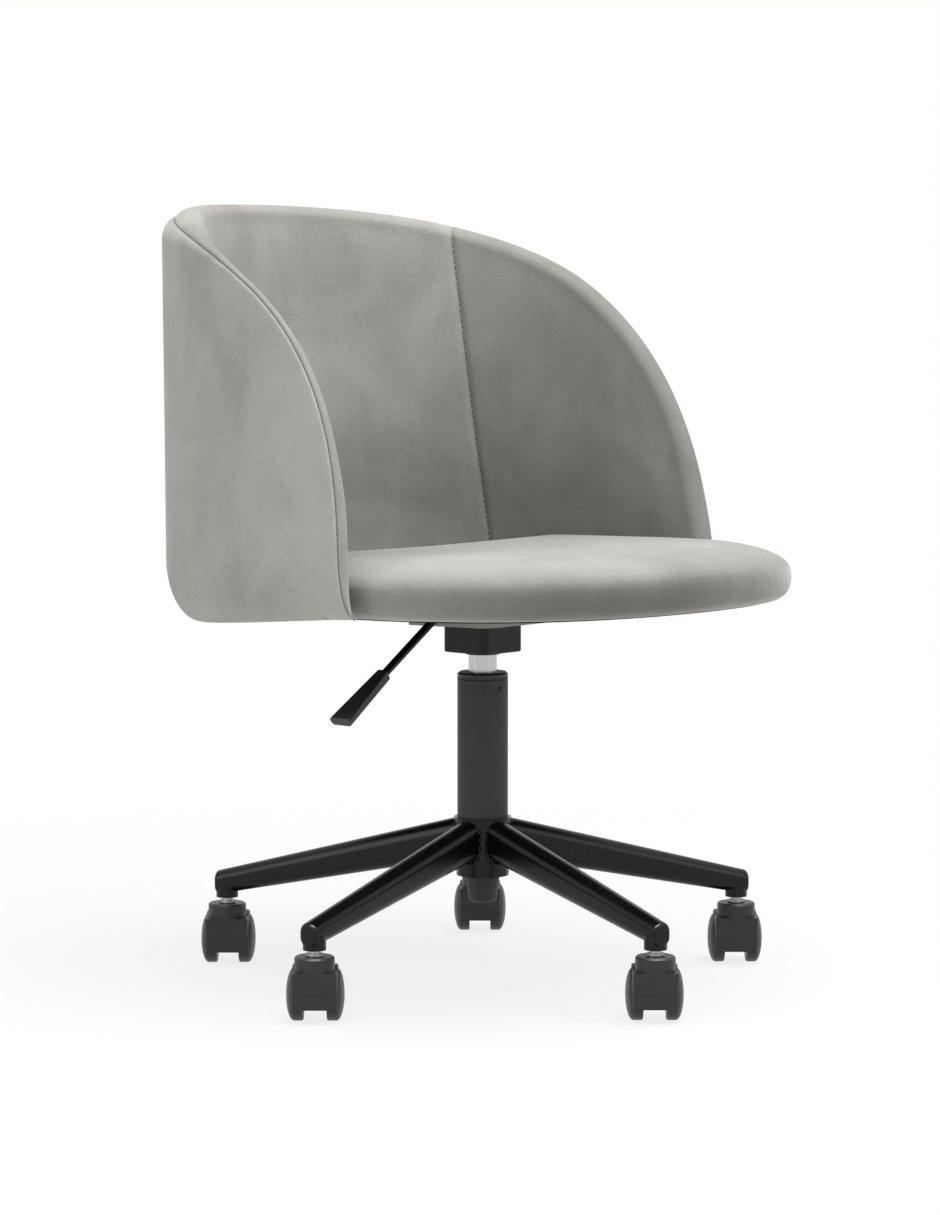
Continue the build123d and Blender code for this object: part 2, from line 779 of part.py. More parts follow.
def bracket_slabs(level, rise, margin):
    """Blocks over the three bracket places, from a level of the seat plane upwards."""
    side_run = tub_half_width - side_foot
    rear_run = tub_back - rear_foot
    with BuildPart() as slabs:
        with BuildSketch(seat_plane.offset(level)):
            with Locations((side_foot + side_run / 2, 0), (-side_foot - side_run / 2, 0)):
                Rectangle(side_run, bracket_width + 2 * margin)
            with Locations((0, rear_foot + rear_run / 2)):
                Rectangle(bracket_width + 2 * margin, rear_run)
        extrude(amount=rise)
    return slabs.part


def wood_screw(place):
    """Screw with its head under the place's plane and its shank along the plane's normal."""
    with BuildPart() as screw:
        with BuildSketch(place):
            Circle(screw_head_diameter / 2)
        extrude(amount=-screw_head_height)
        with BuildSketch(place):
            Circle(screw_diameter / 2)
        extrude(amount=screw_length)
    return screw.part


hole_half = bracket_hole_pitch / 2
wall_x = tub_half_width - frame_inset - bracket_thickness - bracket_hole_rise * lean
wall_y = tub_back - frame_inset - bracket_thickness
screw_places = []
for offset in (-hole_half, hole_half):
    for side in (-1, 1):
        face_point = tub_plane.from_local_coords((side * wall_x, offset, bracket_hole_rise))
        outward = side * tub_plane.x_dir + lean * tub_plane.z_dir
        screw_places.append(Plane(origin=face_point, x_dir=tub_plane.y_dir, z_dir=outward))
        foot_point = seat_plane.from_local_coords((side * (side_foot + hole_half), offset, foot_top))
        screw_places.append(Plane(origin=foot_point, x_dir=seat_plane.x_dir, z_dir=-seat_plane.z_dir))
    face_point = tub_plane.from_local_coords((offset, wall_y, bracket_hole_rise))
    screw_places.append(Plane(origin=face_point, x_dir=tub_plane.x_dir, z_dir=tub_plane.y_dir))
    foot_point = seat_plane.from_local_coords((offset, rear_foot + hole_half, foot_top))
    screw_places.append(Plane(origin=foot_point, x_dir=seat_plane.x_dir, z_dir=-seat_plane.z_dir))

with BuildPart() as bracket_screws:
    for place in screw_places:
        add(wood_screw(place))
keep(bracket_screws, "bracket_screws")

with BuildPart() as bracket_feet:
    add(bracket_slabs(foot_under, bracket_thickness, 0))
    add(frame_inside, mode=Mode.INTERSECT)

with BuildPart() as back_brackets:
    add(bracket_slabs(foot_under, bracket_rise, 0))
    add(frame_inside, mode=Mode.INTERSECT)
    add(bracket_inside, mode=Mode.SUBTRACT)
    add(bracket_feet.part)
    add(bracket_screws.part, mode=Mode.SUBTRACT)
keep(back_brackets, "back_brackets")

with BuildPart() as bracket_notches:
    add(bracket_slabs(foot_under, bracket_rise + notch_clearance, notch_clearance))
    add(frame_inside, mode=Mode.INTERSECT)
    add(notch_inside, mode=Mode.SUBTRACT)
    add(bracket_feet.part)

# Back: bent plywood frame, outer cover with its wadding, lining pads that wrap over the edge
with BuildPart() as back_frame:
    add(frame_outside)
    add(frame_inside, mode=Mode.SUBTRACT)
    add(edge_inside, mode=Mode.INTERSECT)
    split(bisect_by=tub_plane.offset(frame_lift), keep=Keep.TOP)
    add(bracket_screws.part, mode=Mode.SUBTRACT)
keep(back_frame, "back_frame")

with BuildPart() as back_core:
    add(tub_outside.part)
    add(frame_inside, mode=Mode.SUBTRACT)
    add(edge_inside, mode=Mode.INTERSECT)

with BuildPart() as cover_hem:
    add(back_core.part)
    split(bisect_by=tub_plane.offset(frame_lift), keep=Keep.BOTTOM)

with BuildPart() as back_cover:
    add(back_core.part)
    add(frame_outside, mode=Mode.SUBTRACT)
    add(cover_hem.part)
keep(back_cover, "back_cover")

with BuildPart() as lining:
    add(tub_outside.part)
    add(pad_inside, mode=Mode.SUBTRACT)
    add(edge_outside, mode=Mode.INTERSECT)
    add(back_core.part, mode=Mode.SUBTRACT)
    add(bracket_notches.part, mode=Mode.SUBTRACT)

seam_across = (tub_half_width - wall_thickness) * cos(radians(seam_angle))
seam_back = (tub_half_width - wall_thickness) * sin(radians(seam_angle))
seam_planes = []
for side in (-1, 1):
    seam_foot = tub_plane.from_local_coords((side * seam_across, arc_centre + seam_back, 0))
    seam_outward = side * seam_across * tub_plane.x_dir + seam_back * tub_plane.y_dir
    seam_upward = tub_plane.z_dir - side * lean * cos(radians(seam_angle)) * tub_plane.x_dir
    seam_planes.append(Plane(origin=seam_foot, x_dir=seam_upward, z_dir=side * seam_upward.cross(seam_outward)))
right_seam, left_seam = seam_planes

with BuildPart() as back_pad_centre:
    add(lining.part)
    split(bisect_by=left_seam, keep=Keep.TOP)
    split(bisect_by=right_seam, keep=Keep.TOP)
keep(back_pad_centre, "back_pad_centre")

with BuildPart() as back_pad_left:
    add(lining.part)
    split(bisect_by=left_seam, keep=Keep.BOTTOM)
    split(bisect_by=Plane.YZ, keep=Keep.TOP)
keep(back_pad_left, "back_pad_left")

with BuildPart() as back_pad_right:
    add(lining.part)
    split(bisect_by=right_seam, keep=Keep.BOTTOM)
    split(bisect_by=Plane.YZ, keep=Keep.BOTTOM)
keep(back_pad_right, "back_pad_right")

# Seat: plywood board, dust cover below it, crowned cushion over it
with BuildPart() as seat_board:
    add(seat_outline(0, board_inset))
    extrude(amount=board_thickness, dir=seat_plane.z_dir)
    add(tee_nuts.part, mode=Mode.SUBTRACT)
    add(plate_bolts.part, mode=Mode.SUBTRACT)
    add(bracket_screws.part, mode=Mode.SUBTRACT)
keep(seat_board, "seat_board")

with BuildPart() as dust_cover:
    add(seat_outline(-dust_thickness, dust_inset))
    extrude(amount=dust_thickness, dir=seat_plane.z_dir)
    add(plate_bolts.part, mode=Mode.SUBTRACT)
keep(dust_cover, "dust_cover")

fullest = seat_edge * seat_full_line


def cushion_sections():
    """Plans of the cushion from its foot, out to its fullest line, and in over its crown."""
    sections = []
    for turn in (90, 70, 50, 30, 10):
        height = fullest * (1 - sin(radians(turn)))
        sections.append(seat_outline(height, seat_foot_round * (1 - cos(radians(turn)))))
    for turn in (10, 30, 50, 70, 90):
        height = fullest + (seat_edge - fullest) * sin(radians(turn))
        sections.append(seat_outline(height, seat_top_round * (1 - cos(radians(turn)))))
    for rise in (0.3, 0.6, 0.85, 1.0):
        height = seat_edge + seat_crown * rise
        sections.append(seat_outline(height, seat_top_round + seat_crown_run * rise * rise))
    return sections


fall_start = seat_plane.from_local_coords((0, seat_slope_start, seat_edge + seat_crown))
fall_normal = sin(radians(seat_slope)) * seat_plane.y_dir + cos(radians(seat_slope)) * seat_plane.z_dir
foot_notch_rise = bracket_thickness + screw_head_height + notch_clearance

with BuildPart() as seat_cushion:
    loft(cushion_sections(), ruled=True)
    split(bisect_by=Plane(origin=fall_start, x_dir=seat_plane.x_dir, z_dir=fall_normal), keep=Keep.BOTTOM)
    add(seat_outline(0, board_inset))
    extrude(amount=board_thickness, dir=seat_plane.z_dir, mode=Mode.SUBTRACT)
    add(bracket_slabs(foot_under, foot_notch_rise, notch_clearance), mode=Mode.SUBTRACT)
keep(seat_cushion, "seat_cushion")
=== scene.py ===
# %% [markdown]
# # An upholstered swivel chair, built up in Blender
#
# The chair comes as a measured model: base, column, casters, mechanism and plain
# solids for the upholstery. This lesson keeps the hard parts as they are and gives
# them finishes, and it makes the soft parts anew, because a velvet back and a stuffed
# seat have rounded edges, seams and thread that plain solids don't show.

import json
import math

import bmesh
import bpy
import numpy as np
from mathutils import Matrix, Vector


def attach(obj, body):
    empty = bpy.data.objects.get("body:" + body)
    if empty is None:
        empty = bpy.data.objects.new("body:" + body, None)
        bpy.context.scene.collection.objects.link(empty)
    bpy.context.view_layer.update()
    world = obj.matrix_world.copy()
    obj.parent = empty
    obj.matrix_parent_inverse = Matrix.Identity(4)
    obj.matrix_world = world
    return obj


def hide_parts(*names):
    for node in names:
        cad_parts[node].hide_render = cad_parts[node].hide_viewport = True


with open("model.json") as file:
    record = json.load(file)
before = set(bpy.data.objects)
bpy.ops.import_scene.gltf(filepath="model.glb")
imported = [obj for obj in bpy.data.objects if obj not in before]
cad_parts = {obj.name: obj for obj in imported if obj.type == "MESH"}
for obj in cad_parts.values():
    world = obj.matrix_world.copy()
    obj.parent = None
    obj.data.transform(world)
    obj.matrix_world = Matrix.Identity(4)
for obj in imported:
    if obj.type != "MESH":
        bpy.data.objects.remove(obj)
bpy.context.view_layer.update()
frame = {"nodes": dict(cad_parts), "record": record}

# %% [markdown]
# ## Writing shaders as sums
#
# A finish is mostly arithmetic on noise. Wrapping a socket in a small class lets that
# arithmetic be written as it is read, and one method places every other node.


# %% A socket that takes part in sums
class Signal:
    """A node's output, on which +, - and * add Math nodes."""

    def __init__(self, finish, socket):
        self.finish = finish
        self.socket = socket

    def _math(self, operation, first, second):
        return self.finish.node("ShaderNodeMath", {"operation": operation}, {0: first, 1: second})

    def __add__(self, other):
        return self._math("ADD", self, other)

    def __radd__(self, other):
        return self._math("ADD", other, self)

    def __sub__(self, other):
        return self._math("SUBTRACT", self, other)

    def __rsub__(self, other):
        return self._math("SUBTRACT", other, self)

    def __mul__(self, other):
        return self._math("MULTIPLY", self, other)

    def __rmul__(self, other):
        return self._math("MULTIPLY", other, self)


# %% A material with one way to place a node
class Finish:
    """A material under construction."""

    def __init__(self, name):
        self.material = bpy.data.materials.new(name)
        self.material.use_nodes = True
        self.tree = self.material.node_tree
        self.tree.nodes.clear()

    def node(self, kind, settings=None, values=None, out=0):
        made = self.tree.nodes.new(kind)
        for key, value in (settings or {}).items():
            if key == "stops":
                ramp = made.color_ramp.elements
                while len(ramp) < len(value):
                    ramp.new(0.5)
                for stop, (place, shade) in zip(ramp, value):
                    stop.position = place
                    stop.color = (shade, shade, shade, 1)
            else:
                setattr(made, key, value)
        for key, value in (values or {}).items():
            if isinstance(value, Signal):
                self.tree.links.new(value.socket, made.inputs[key])
            else:
                made.inputs[key].default_value = value
        return made if out is None else Signal(self, made.outputs[out])

    def noise(self, place, scale, detail=2.0, roughness=0.5, distortion=0.0):
        sizes = {"Vector": place, "Scale": scale, "Detail": detail}
        sizes.update({"Roughness": roughness, "Distortion": distortion})
        return self.node("ShaderNodeTexNoise", {}, sizes)

    def blend(self, factor, first, second):
        """Mixes two colours."""
        settings = {"data_type": "RGBA"}
        return self.node("ShaderNodeMix", settings, {0: factor, 6: first, 7: second}, out=2)

    def close(self, values):
        """Ends the tree in one principled shader."""
        shader = self.node("ShaderNodeBsdfPrincipled", {}, values)
        self.node("ShaderNodeOutputMaterial", {}, {"Surface": shader}, out=None)
        return self.material


# %% [markdown]
# ## Velvet
#
# Velvet is a short pile that leans one way or another, so its colour drifts in soft
# patches where a hand has brushed it, and its edges glow. The patches are a round noise
# and one drawn out upright, the pile is a very fine one that also lifts the surface, and
# the glow is the shader's own sheen. Real hairs would be truer close by, but from a step
# away noise gives the same look and costs far less. The seat's velvet carries painted light
# as well: a lit and a shaded copy of its colours, and a number on each point of the cushion
# says how much of each, lit on the top and shaded on the sides.


# %% Make the velvet
def rgb(red, green, blue):
    """A linear colour from its screen values."""
    return tuple(pow(value / 255, 2.2) for value in (red, green, blue)) + (1.0,)


def velvet(name, deep, light, painted_shade=None, sheen=0.35):
    """Velvet between two colours; an optional darker pair is a shaded copy, blended in as painted shade by a
    number on the mesh.
    """
    finish = Finish(name)
    place = finish.node("ShaderNodeTexCoord", {}, {}, out="Object")
    upright = finish.node("ShaderNodeMapping", {}, {"Vector": place, "Scale": (26.0, 26.0, 8.0)})
    patches = finish.noise(place, 6.5, 3.0, 0.55, 1.2)
    strokes = finish.noise(upright, 1.0, 4.0, 0.6, 0.8)
    grain = finish.noise(place, 400.0, 3.0, 0.65)
    pile = finish.noise(place, 1250.0, 2.0, 0.7)
    brushed_and_painted_sheen = patches * 0.7 + strokes * 0.3
    nap = finish.node("ShaderNodeValToRGB", {"stops": ((0.36, 0.0), (0.62, 1.0))}, {0: brushed_and_painted_sheen})
    tone = nap * 0.42 + (grain - 0.5) * 0.8 + (pile - 0.5) * 0.9 + 0.29
    colour = finish.blend(tone, deep, light)
    # Painted light and shade: the number on the mesh blends in the shaded copy where it is low.
    if painted_shade:
        painted_light_share = finish.node("ShaderNodeAttribute", {"attribute_name": "nap"}, {}, out="Fac")
        colour = finish.blend(painted_light_share, finish.blend(tone, *painted_shade), colour)
    height = pile * 0.5 + grain * 0.5
    relief = finish.node("ShaderNodeBump", {}, {"Strength": 0.35, "Distance": 0.0007, "Height": height})
    values = {"Base Color": colour, "Roughness": 0.78 + grain * 0.2, "Normal": relief}
    values.update({"Sheen Weight": sheen, "Sheen Roughness": 0.45, "Specular IOR Level": 0.15})
    values["Sheen Tint"] = (0.95, 0.94, 0.91, 1.0)
    return finish.close(values)


velvet_finish = velvet("grey_velvet", rgb(129, 128, 123), rgb(172, 171, 166))
# A darker copy of the same velvet for the lining's side panels: painted shade, and a step at the seams where
# their pile runs another way.
shaded_side_velvet = velvet("shaded_side_velvet", rgb(116, 115, 110), rgb(155, 154, 149))
# The seat's velvet has a lit pair of colours and this darker, shaded pair: painted light and shade.
painted_shade_pile = (rgb(80, 79, 75), rgb(116, 115, 110))
seat_velvet_painted_light = velvet("seat_velvet_painted_light", rgb(128, 127, 123), rgb(176, 175, 170), painted_shade_pile, sheen=0.8)
print("velvet nodes:", len(velvet_finish.node_tree.nodes), len(seat_velvet_painted_light.node_tree.nodes))

# %% [markdown]
# ## Paint, moulded nylon and bare metal
#
# The base wears a semi-gloss black paint with a faint orange peel. The casters and the
# paddle are moulded, so they have a fine spark-eroded grain and less gloss. The gas
# cylinder is chrome and the hidden hardware is zinc plated. Each could have a tree of its
# own, but they share a recipe, a colour that drifts a little, a roughness that drifts with
# it and a fine relief, so one function makes them all.


# %% Make the hard finishes
def hard_finish(
    name, colour, roughness, metallic=0.0, gloss=0.5, drift=0.12, grain_scale=900.0, relief=0.1
):
    """A hard surface whose colour and roughness drift a little, with a fine relief."""
    finish = Finish(name)
    place = finish.node("ShaderNodeTexCoord", {}, {}, out="Object")
    cloud = finish.noise(place, 24.0, 3.0, 0.6)
    grain = finish.noise(place, grain_scale, 2.0, 0.6)
    darker = tuple(value * (1 - drift) for value in colour[:3]) + (1.0,)
    lighter = tuple(min(1.0, value * (1 + drift)) for value in colour[:3]) + (1.0,)
    bump = finish.node("ShaderNodeBump", {}, {"Strength": relief, "Distance": 0.0003, "Height": grain})
    values = {
        "Base Color": finish.blend(cloud * 0.7 + grain * 0.3, darker, lighter),
        "Roughness": roughness + (cloud - 0.5) * (roughness * 0.35) + (grain - 0.5) * (roughness * 0.2),
        "Normal": bump,
        "Metallic": metallic,
        "Specular IOR Level": gloss,
    }
    return finish.close(values)


slot_finish = {
    "velvet": velvet_finish,
    "dust_cloth": hard_finish("black_dust_cloth", rgb(34, 34, 34), 0.9, grain_scale=1500.0, relief=0.5),
    "black_steel": hard_finish(
        "black_paint", rgb(15, 15, 17), 0.27, gloss=0.25, drift=0.05, grain_scale=420.0, relief=0.012
    ),
    "grey_steel": hard_finish("grey_powder_coat", rgb(146, 145, 141), 0.6, grain_scale=1200.0, relief=0.25),
    "chrome": hard_finish("chrome", rgb(186, 188, 190), 0.28, metallic=1.0, drift=0.04, relief=0.02),
    "zinc": hard_finish("zinc_plate", rgb(168, 169, 168), 0.34, metallic=1.0, drift=0.1),
    "nylon": hard_finish("moulded_nylon", rgb(36, 37, 39), 0.42, gloss=0.4, grain_scale=1300.0, relief=0.2),
    "black_plastic": hard_finish("black_plastic", rgb(36, 36, 38), 0.42, grain_scale=1300.0, relief=0.2),
}
print("hard finishes:", len(slot_finish) - 1)

# %% [markdown]
# ## Plywood
#
# The back's frame and the seat board are plywood. They hardly show, but a gap under the
# seat should show layers of wood and not a grey solid, so the veneer is a stretched noise.


# %% Make the plywood
def plywood():
    """Veneer whose grain runs across the chair."""
    finish = Finish("plywood")
    place = finish.node("ShaderNodeTexCoord", {}, {}, out="Object")
    along = finish.node("ShaderNodeMapping", {}, {"Vector": place, "Scale": (14.0, 120.0, 120.0)})
    grain = finish.noise(along, 1.0, 5.0, 0.65, 0.4)
    colour = finish.blend(grain, rgb(150, 112, 72), rgb(206, 170, 122))
    bump = finish.node("ShaderNodeBump", {}, {"Strength": 0.2, "Distance": 0.0004, "Height": grain})
    return finish.close({"Base Color": colour, "Roughness": 0.6 + grain * 0.2, "Normal": bump})


slot_finish["plywood"] = plywood()
print("plywood nodes:", len(slot_finish["plywood"].node_tree.nodes))

# %% [markdown]
# ## The column
#
# The column's tube is satin and not glossy. Near its top a line runs round it where the rim
# is rolled, and four punch marks below the line hold the bush inside. They are too small to
# model, so a mask dents the surface there and darkens it as painted shade in the dents.

# %% Make the column's finish and dress the nodes
RIM_LINE = 0.0026
PUNCH_DROP = 0.011
PUNCH_TURNS = (263.0, 289.0, 83.0, 109.0)


def places(mesh):
    """The mesh's points, one row each."""
    return np.array([vertex.co[:] for vertex in mesh.vertices])


def column_finish(tube):
    """Satin paint, with the line and the marks placed from the tube's own size and painted dark as shade."""
    finish = Finish("satin_column")
    place = finish.node("ShaderNodeTexCoord", {}, {}, out="Object")
    grain = finish.noise(place, 700.0, 2.0, 0.6)
    corners = places(tube.data)
    top, radius = corners[:, 2].max(), np.abs(corners[:, 0]).max()
    level = finish.node("ShaderNodeSeparateXYZ", {}, {0: place}, out="Z")
    apart = finish.node("ShaderNodeMath", {"operation": "ABSOLUTE"}, {0: level - (top - RIM_LINE)})
    dents_with_painted_shade = finish.node("ShaderNodeMapRange", {}, {"Value": apart, 1: 0.0003, 2: 0.0009, 3: 0.8, 4: 0.0})
    for turn in PUNCH_TURNS:
        angle = math.radians(turn)
        centre = (radius * math.cos(angle), radius * math.sin(angle), top - PUNCH_DROP)
        ends = {0: place, 1: centre}
        apart = finish.node("ShaderNodeVectorMath", {"operation": "DISTANCE"}, ends, out="Value")
        edge = {"Value": apart, 1: 0.0018, 2: 0.0032, 3: 1.0, 4: 0.0}
        dents_with_painted_shade = dents_with_painted_shade + finish.node("ShaderNodeMapRange", {}, edge)
    height = grain * 0.06 - dents_with_painted_shade
    dent = finish.node("ShaderNodeBump", {}, {"Strength": 0.6, "Distance": 0.0008, "Height": height})
    # The line and the punch marks are painted dark: painted shade in the dents.
    colour = finish.blend(dents_with_painted_shade, rgb(58, 58, 59), rgb(16, 16, 17))
    values = {"Base Color": colour, "Roughness": 0.56, "Normal": dent, "Specular IOR Level": 0.25}
    return finish.close(values)


for row in frame["record"]["subparts"]:
    node_mesh = frame["nodes"][row["node"]].data
    node_mesh.materials.clear()
    node_mesh.materials.append(slot_finish[row["material_slot"]])
tube = frame["nodes"]["column_tube"]
tube.data.materials[0] = column_finish(tube)

# %% [markdown]
# ## The tub's surface as a map
#
# The back is one bent wall: straight sides, half an ellipse behind, leaning inwards. It is
# drawn here as a flat map, along and up, and a function carries a point of the map to its
# place in space at any depth in the wall. A box could be bent and cut instead, but cover,
# lining, seams and thread can all use one map, and then they fit without any trial.

# %% Sizes of the tub, in metres
TUB_HEIGHT = 0.375
TUB_TILT = math.radians(4.9)
TUB_HALF = 0.2825
TUB_CENTRE = 0.041
TUB_LEAN = math.tan(math.radians(5.9))
WALL = 0.026
ROUND = 0.268
EDGE = np.array([(-0.077, 0.0), (-0.060, 0.089), (-0.146, 0.417), (0.520, 0.441)])


def wall_point(along, rise, depth, side):
    """Places a point of the map in space, at a depth in from the wall's outer face."""
    turn = max(0.0, along) / ROUND
    across = (TUB_HALF - depth - rise * TUB_LEAN) * math.cos(turn)
    back = TUB_CENTRE + min(0.0, along) + (TUB_HALF - depth) * math.sin(turn)
    level = TUB_HEIGHT - back * math.sin(TUB_TILT) + rise * math.cos(TUB_TILT)
    return (side * across, back * math.cos(TUB_TILT) + rise * math.sin(TUB_TILT), level)


# %% The swept edge on the map
def edge_on_map(count=4000):
    """Rows of (along, rise) from the wing's foot to the middle of the back."""
    steps = np.linspace(0, 1, count)[:, None]
    curve = EDGE[0] * (1 - steps) ** 3 + 3 * EDGE[1] * steps * (1 - steps) ** 2
    curve += 3 * EDGE[2] * steps**2 * (1 - steps) + EDGE[3] * steps**3
    rows = []
    for back, rise in curve - (TUB_CENTRE, 0):
        share = back / (TUB_HALF - WALL / 2)
        if share > 1:
            break
        rows.append((back if back <= 0 else ROUND * math.asin(share), rise))
    rows.append((ROUND * math.pi / 2, rows[-1][1]))
    return np.array(rows)


edge_map = edge_on_map()
edge_run = np.concatenate(([0], np.cumsum(np.hypot(*np.diff(edge_map, axis=0).T))))
print("edge length of one side: %.3f m" % edge_run[-1])

# %% [markdown]
# ## Columns of the wall
#
# A column starts at the edge, runs in at a right angle to it, and then goes straight down
# to the foot. Towards the back it is straight from the start, so that the lining's seams
# are columns too. Extra columns stand close together at the two seams, where the cloth
# dips within a few millimetres.

# %% Lay out the columns
SEAM_ALONG = ROUND * math.radians(32.0)
BAND = 0.045
COLUMN_STEP = 0.006
SEAM_STEPS = np.array([-14, -9, -6, -4, -2.5, -1.4, -0.6, 0, 0.6, 1.4, 2.5, 4, 6, 9, 14]) / 1000
LEVEL_BELOW = 0.06
TURN_START = -0.06
TURN_RUN = 0.09
PROBE = 0.002


def column_starts():
    """Distances along the edge at which a column starts."""
    runs = np.linspace(0, edge_run[-1], int(edge_run[-1] / COLUMN_STEP))
    past_corner = edge_map[:, 0] > 0
    seam_runs = np.interp(SEAM_ALONG + SEAM_STEPS, edge_map[past_corner, 0], edge_run[past_corner])
    away = np.abs(runs[:, None] - seam_runs[None, :]).min(axis=1) > PROBE
    return np.sort(np.concatenate((runs[away], seam_runs)))


def soft_step(share):
    """Rises smoothly from 0 to 1."""
    share = min(1.0, max(0.0, share))
    return share * share * (3 - 2 * share)


def columns():
    """Rows of (start, way in) on the map, from the wing's foot to the middle of the back."""
    found = []
    for run in column_starts():
        start = np.array([np.interp(run, edge_run, edge_map[:, axis]) for axis in (0, 1)])
        ends = np.clip((run - PROBE, run + PROBE), 0, edge_run[-1])
        ahead = np.array([np.diff(np.interp(ends, edge_run, edge_map[:, axis]))[0] for axis in (0, 1)])
        ahead /= np.hypot(*ahead)
        inward = np.array([ahead[1], -ahead[0]])
        inward[1] *= min(1.0, start[1] / LEVEL_BELOW)
        turn = soft_step((start[0] - TURN_START) / TURN_RUN)
        way = (1 - turn) * inward + turn * np.array([0.0, -1.0])
        way /= np.hypot(*way)
        found.append((start, way / max(0.5, way @ inward)))
    return found


column_rows = columns()
print("columns on one side:", len(column_rows))

# %% [markdown]
# ## Sweeping a profile along the edge
#
# Each upholstered layer is a closed profile, a list of (distance from the edge, depth in
# the wall), carried along the columns. Below the band near the edge the distance turns
# into a share of the way down to the foot. Skinning the profiles gives clean faces that
# follow the seams, which a cut or a remesh would not.


# %% Place profiles and skin them
def down(start, way, distance, foot=0.0):
    """A point of the map at a distance from the edge; past the band, 1 to 2 runs to the foot."""
    if distance <= BAND:
        return start + way * distance
    at = start + way * BAND
    share = distance - 1
    low = min(foot, max(0.0, at[1]))
    return np.array([at[0], low + (max(0.0, at[1]) - low) * (1 - share) ** 2.2])


def profile_ring(index, side, profile, foot=0.0):
    """The profile's points in space on one column; past the roll none lies below the foot."""
    start, way = column_rows[index]
    ring = []
    for distance, depth in profile:
        distance = distance(start[0]) if callable(distance) else distance
        along, rise = down(start, way, distance, foot)
        rise = max(foot * soft_step((distance - ROLL_WING) / (BAND - ROLL_WING)), rise)
        ring.append(wall_point(along, rise, depth(along, rise), side))
    return ring


def swept(name, rings, finish):
    """A closed mesh through rings of points, with both ends filled."""
    count = len(rings[0])
    points = [point for ring in rings for point in ring]
    faces = []
    for row in range(len(rings) - 1):
        for step in range(count):
            after = (step + 1) % count
            low, high = row * count, (row + 1) * count
            faces.append((low + step, low + after, high + after, high + step))
    ends = [tuple(range(count)), tuple(range(len(points) - count, len(points)))]
    mesh = bpy.data.meshes.new(name)
    mesh.from_pydata(points, [], faces + ends)
    shape = bmesh.new()
    shape.from_mesh(mesh)
    bmesh.ops.remove_doubles(shape, verts=shape.verts, dist=0.00004)
    bmesh.ops.dissolve_degenerate(shape, edges=shape.edges, dist=0.00002)
    bmesh.ops.triangulate(shape, faces=[face for face in shape.faces if len(face.verts) > 4])
    bmesh.ops.recalc_face_normals(shape, faces=shape.faces)
    shape.to_mesh(mesh)
    shape.free()
    mesh.materials.append(finish)
    mesh.shade_smooth()
    piece = bpy.data.objects.new(name, mesh)
    bpy.context.scene.collection.objects.link(piece)
    return piece


# %% [markdown]
# ## The rolled edge
#
# The wall's edge is a soft roll. The outer cover comes over it from outside and meets the
# lining in a seam just short of the crest. The roll is half an ellipse, small on the wings,
# whose edges are thin, and wide across the back, which has more padding. At the seam both
# covers are drawn in, and the lining stands a little proud beyond it. At the foot
# everything tucks under. A bevel would make the roll equally wide all along, so its width
# and depth are functions of the place instead.

# %% Shape the roll
SEAM_TURN = math.radians(54.0)
ROLL_WING = 0.004
ROLL_BACK = 0.024
ROLL_IN = 0.012
CREST_WING = 0.006
CREST_BACK = 0.028
EDGE_THIN = 0.007
BACK_PAD = 0.016
BACK_START = 0.02
BACK_RUN = 0.22
GROOVE = 0.0022
GROOVE_TURN = 0.12
PROUD = 0.001
SEAM_DIP = 0.0027
SEAM_WIDTH = 0.0035
FOOT_RISE = 0.064
FOOT_TUCK = 0.036
EDGE_TUCK = 0.0235
TUCK_SHARE = 0.95


def back_share(along):
    """0 on the wings, 1 across the back."""
    return soft_step((along - BACK_START) / BACK_RUN)


def wall_depth(along, rise):
    """Thickness of the wall: more across the upper back, less beside the edge of a wing.

    The thin margin is narrower and weaker low down, where the brackets need room behind it.
    """
    apart = np.hypot(*(edge_map[::20] - (along, rise)).T).min()
    reach = 0.03 + 0.12 * soft_step((rise - 0.10) / 0.12)
    above = 0.4 + 0.6 * soft_step((rise - 0.09) / 0.08)
    thin = EDGE_THIN * above * (1 - back_share(along)) * (1 - soft_step((apart - ROLL_IN) / reach))
    return WALL + BACK_PAD * back_share(along) * soft_step((rise - 0.06) / 0.14) - thin


def foot_roll(rise):
    """Share of the tuck at a height: none above the foot, all of it at the floor of the tub."""
    below = max(0.0, 1 - rise / FOOT_RISE)
    return 1 - math.sqrt(1 - below * below)


def roll_out(along):
    """How far the roll reaches down the outer face: little on the wings, more across the back."""
    return ROLL_WING + (ROLL_BACK - ROLL_WING) * back_share(along)


def roll(turn, skin=0.0):
    """A profile point on the roll, at a turn from the outer face and a depth under the cloth."""
    past = turn - SEAM_TURN
    sunk = skin + GROOVE * math.exp(-((past / GROOVE_TURN) ** 2))
    sunk -= PROUD * math.exp(-(((past - 0.5) / 0.3) ** 2))

    def distance(along):
        length = roll_out(along) if turn < math.pi / 2 else ROLL_IN
        return length * (1 - math.sin(turn)) + sunk * math.sin(turn)

    def depth(along, rise):
        thick = wall_depth(along, rise)
        crest = CREST_WING + (CREST_BACK - CREST_WING) * back_share(along)
        width = crest if turn < math.pi / 2 else thick - crest
        dip = SEAM_DIP * math.exp(-(((along - SEAM_ALONG) / SEAM_WIDTH) ** 2)) if past > 0 else 0.0
        shaped = crest - width * math.cos(turn) + sunk * math.cos(turn) - dip * max(0.0, -math.cos(turn))
        return shaped + max(0.0, EDGE_TUCK - shaped) * foot_roll(rise) * TUCK_SHARE

    return distance, depth


print("seam lies %.1f mm below the crest of a wing" % (1000 * roll(SEAM_TURN)[0](0.0)))

# %% [markdown]
# ## Outer cover
#
# The outer cover is one panel of velvet over thin wadding. It starts in the seam, comes
# over the outer half of the roll, runs down the wall and tucks under the foot. It has a
# thickness and an inner face, because a single sheet of faces would show its end there.

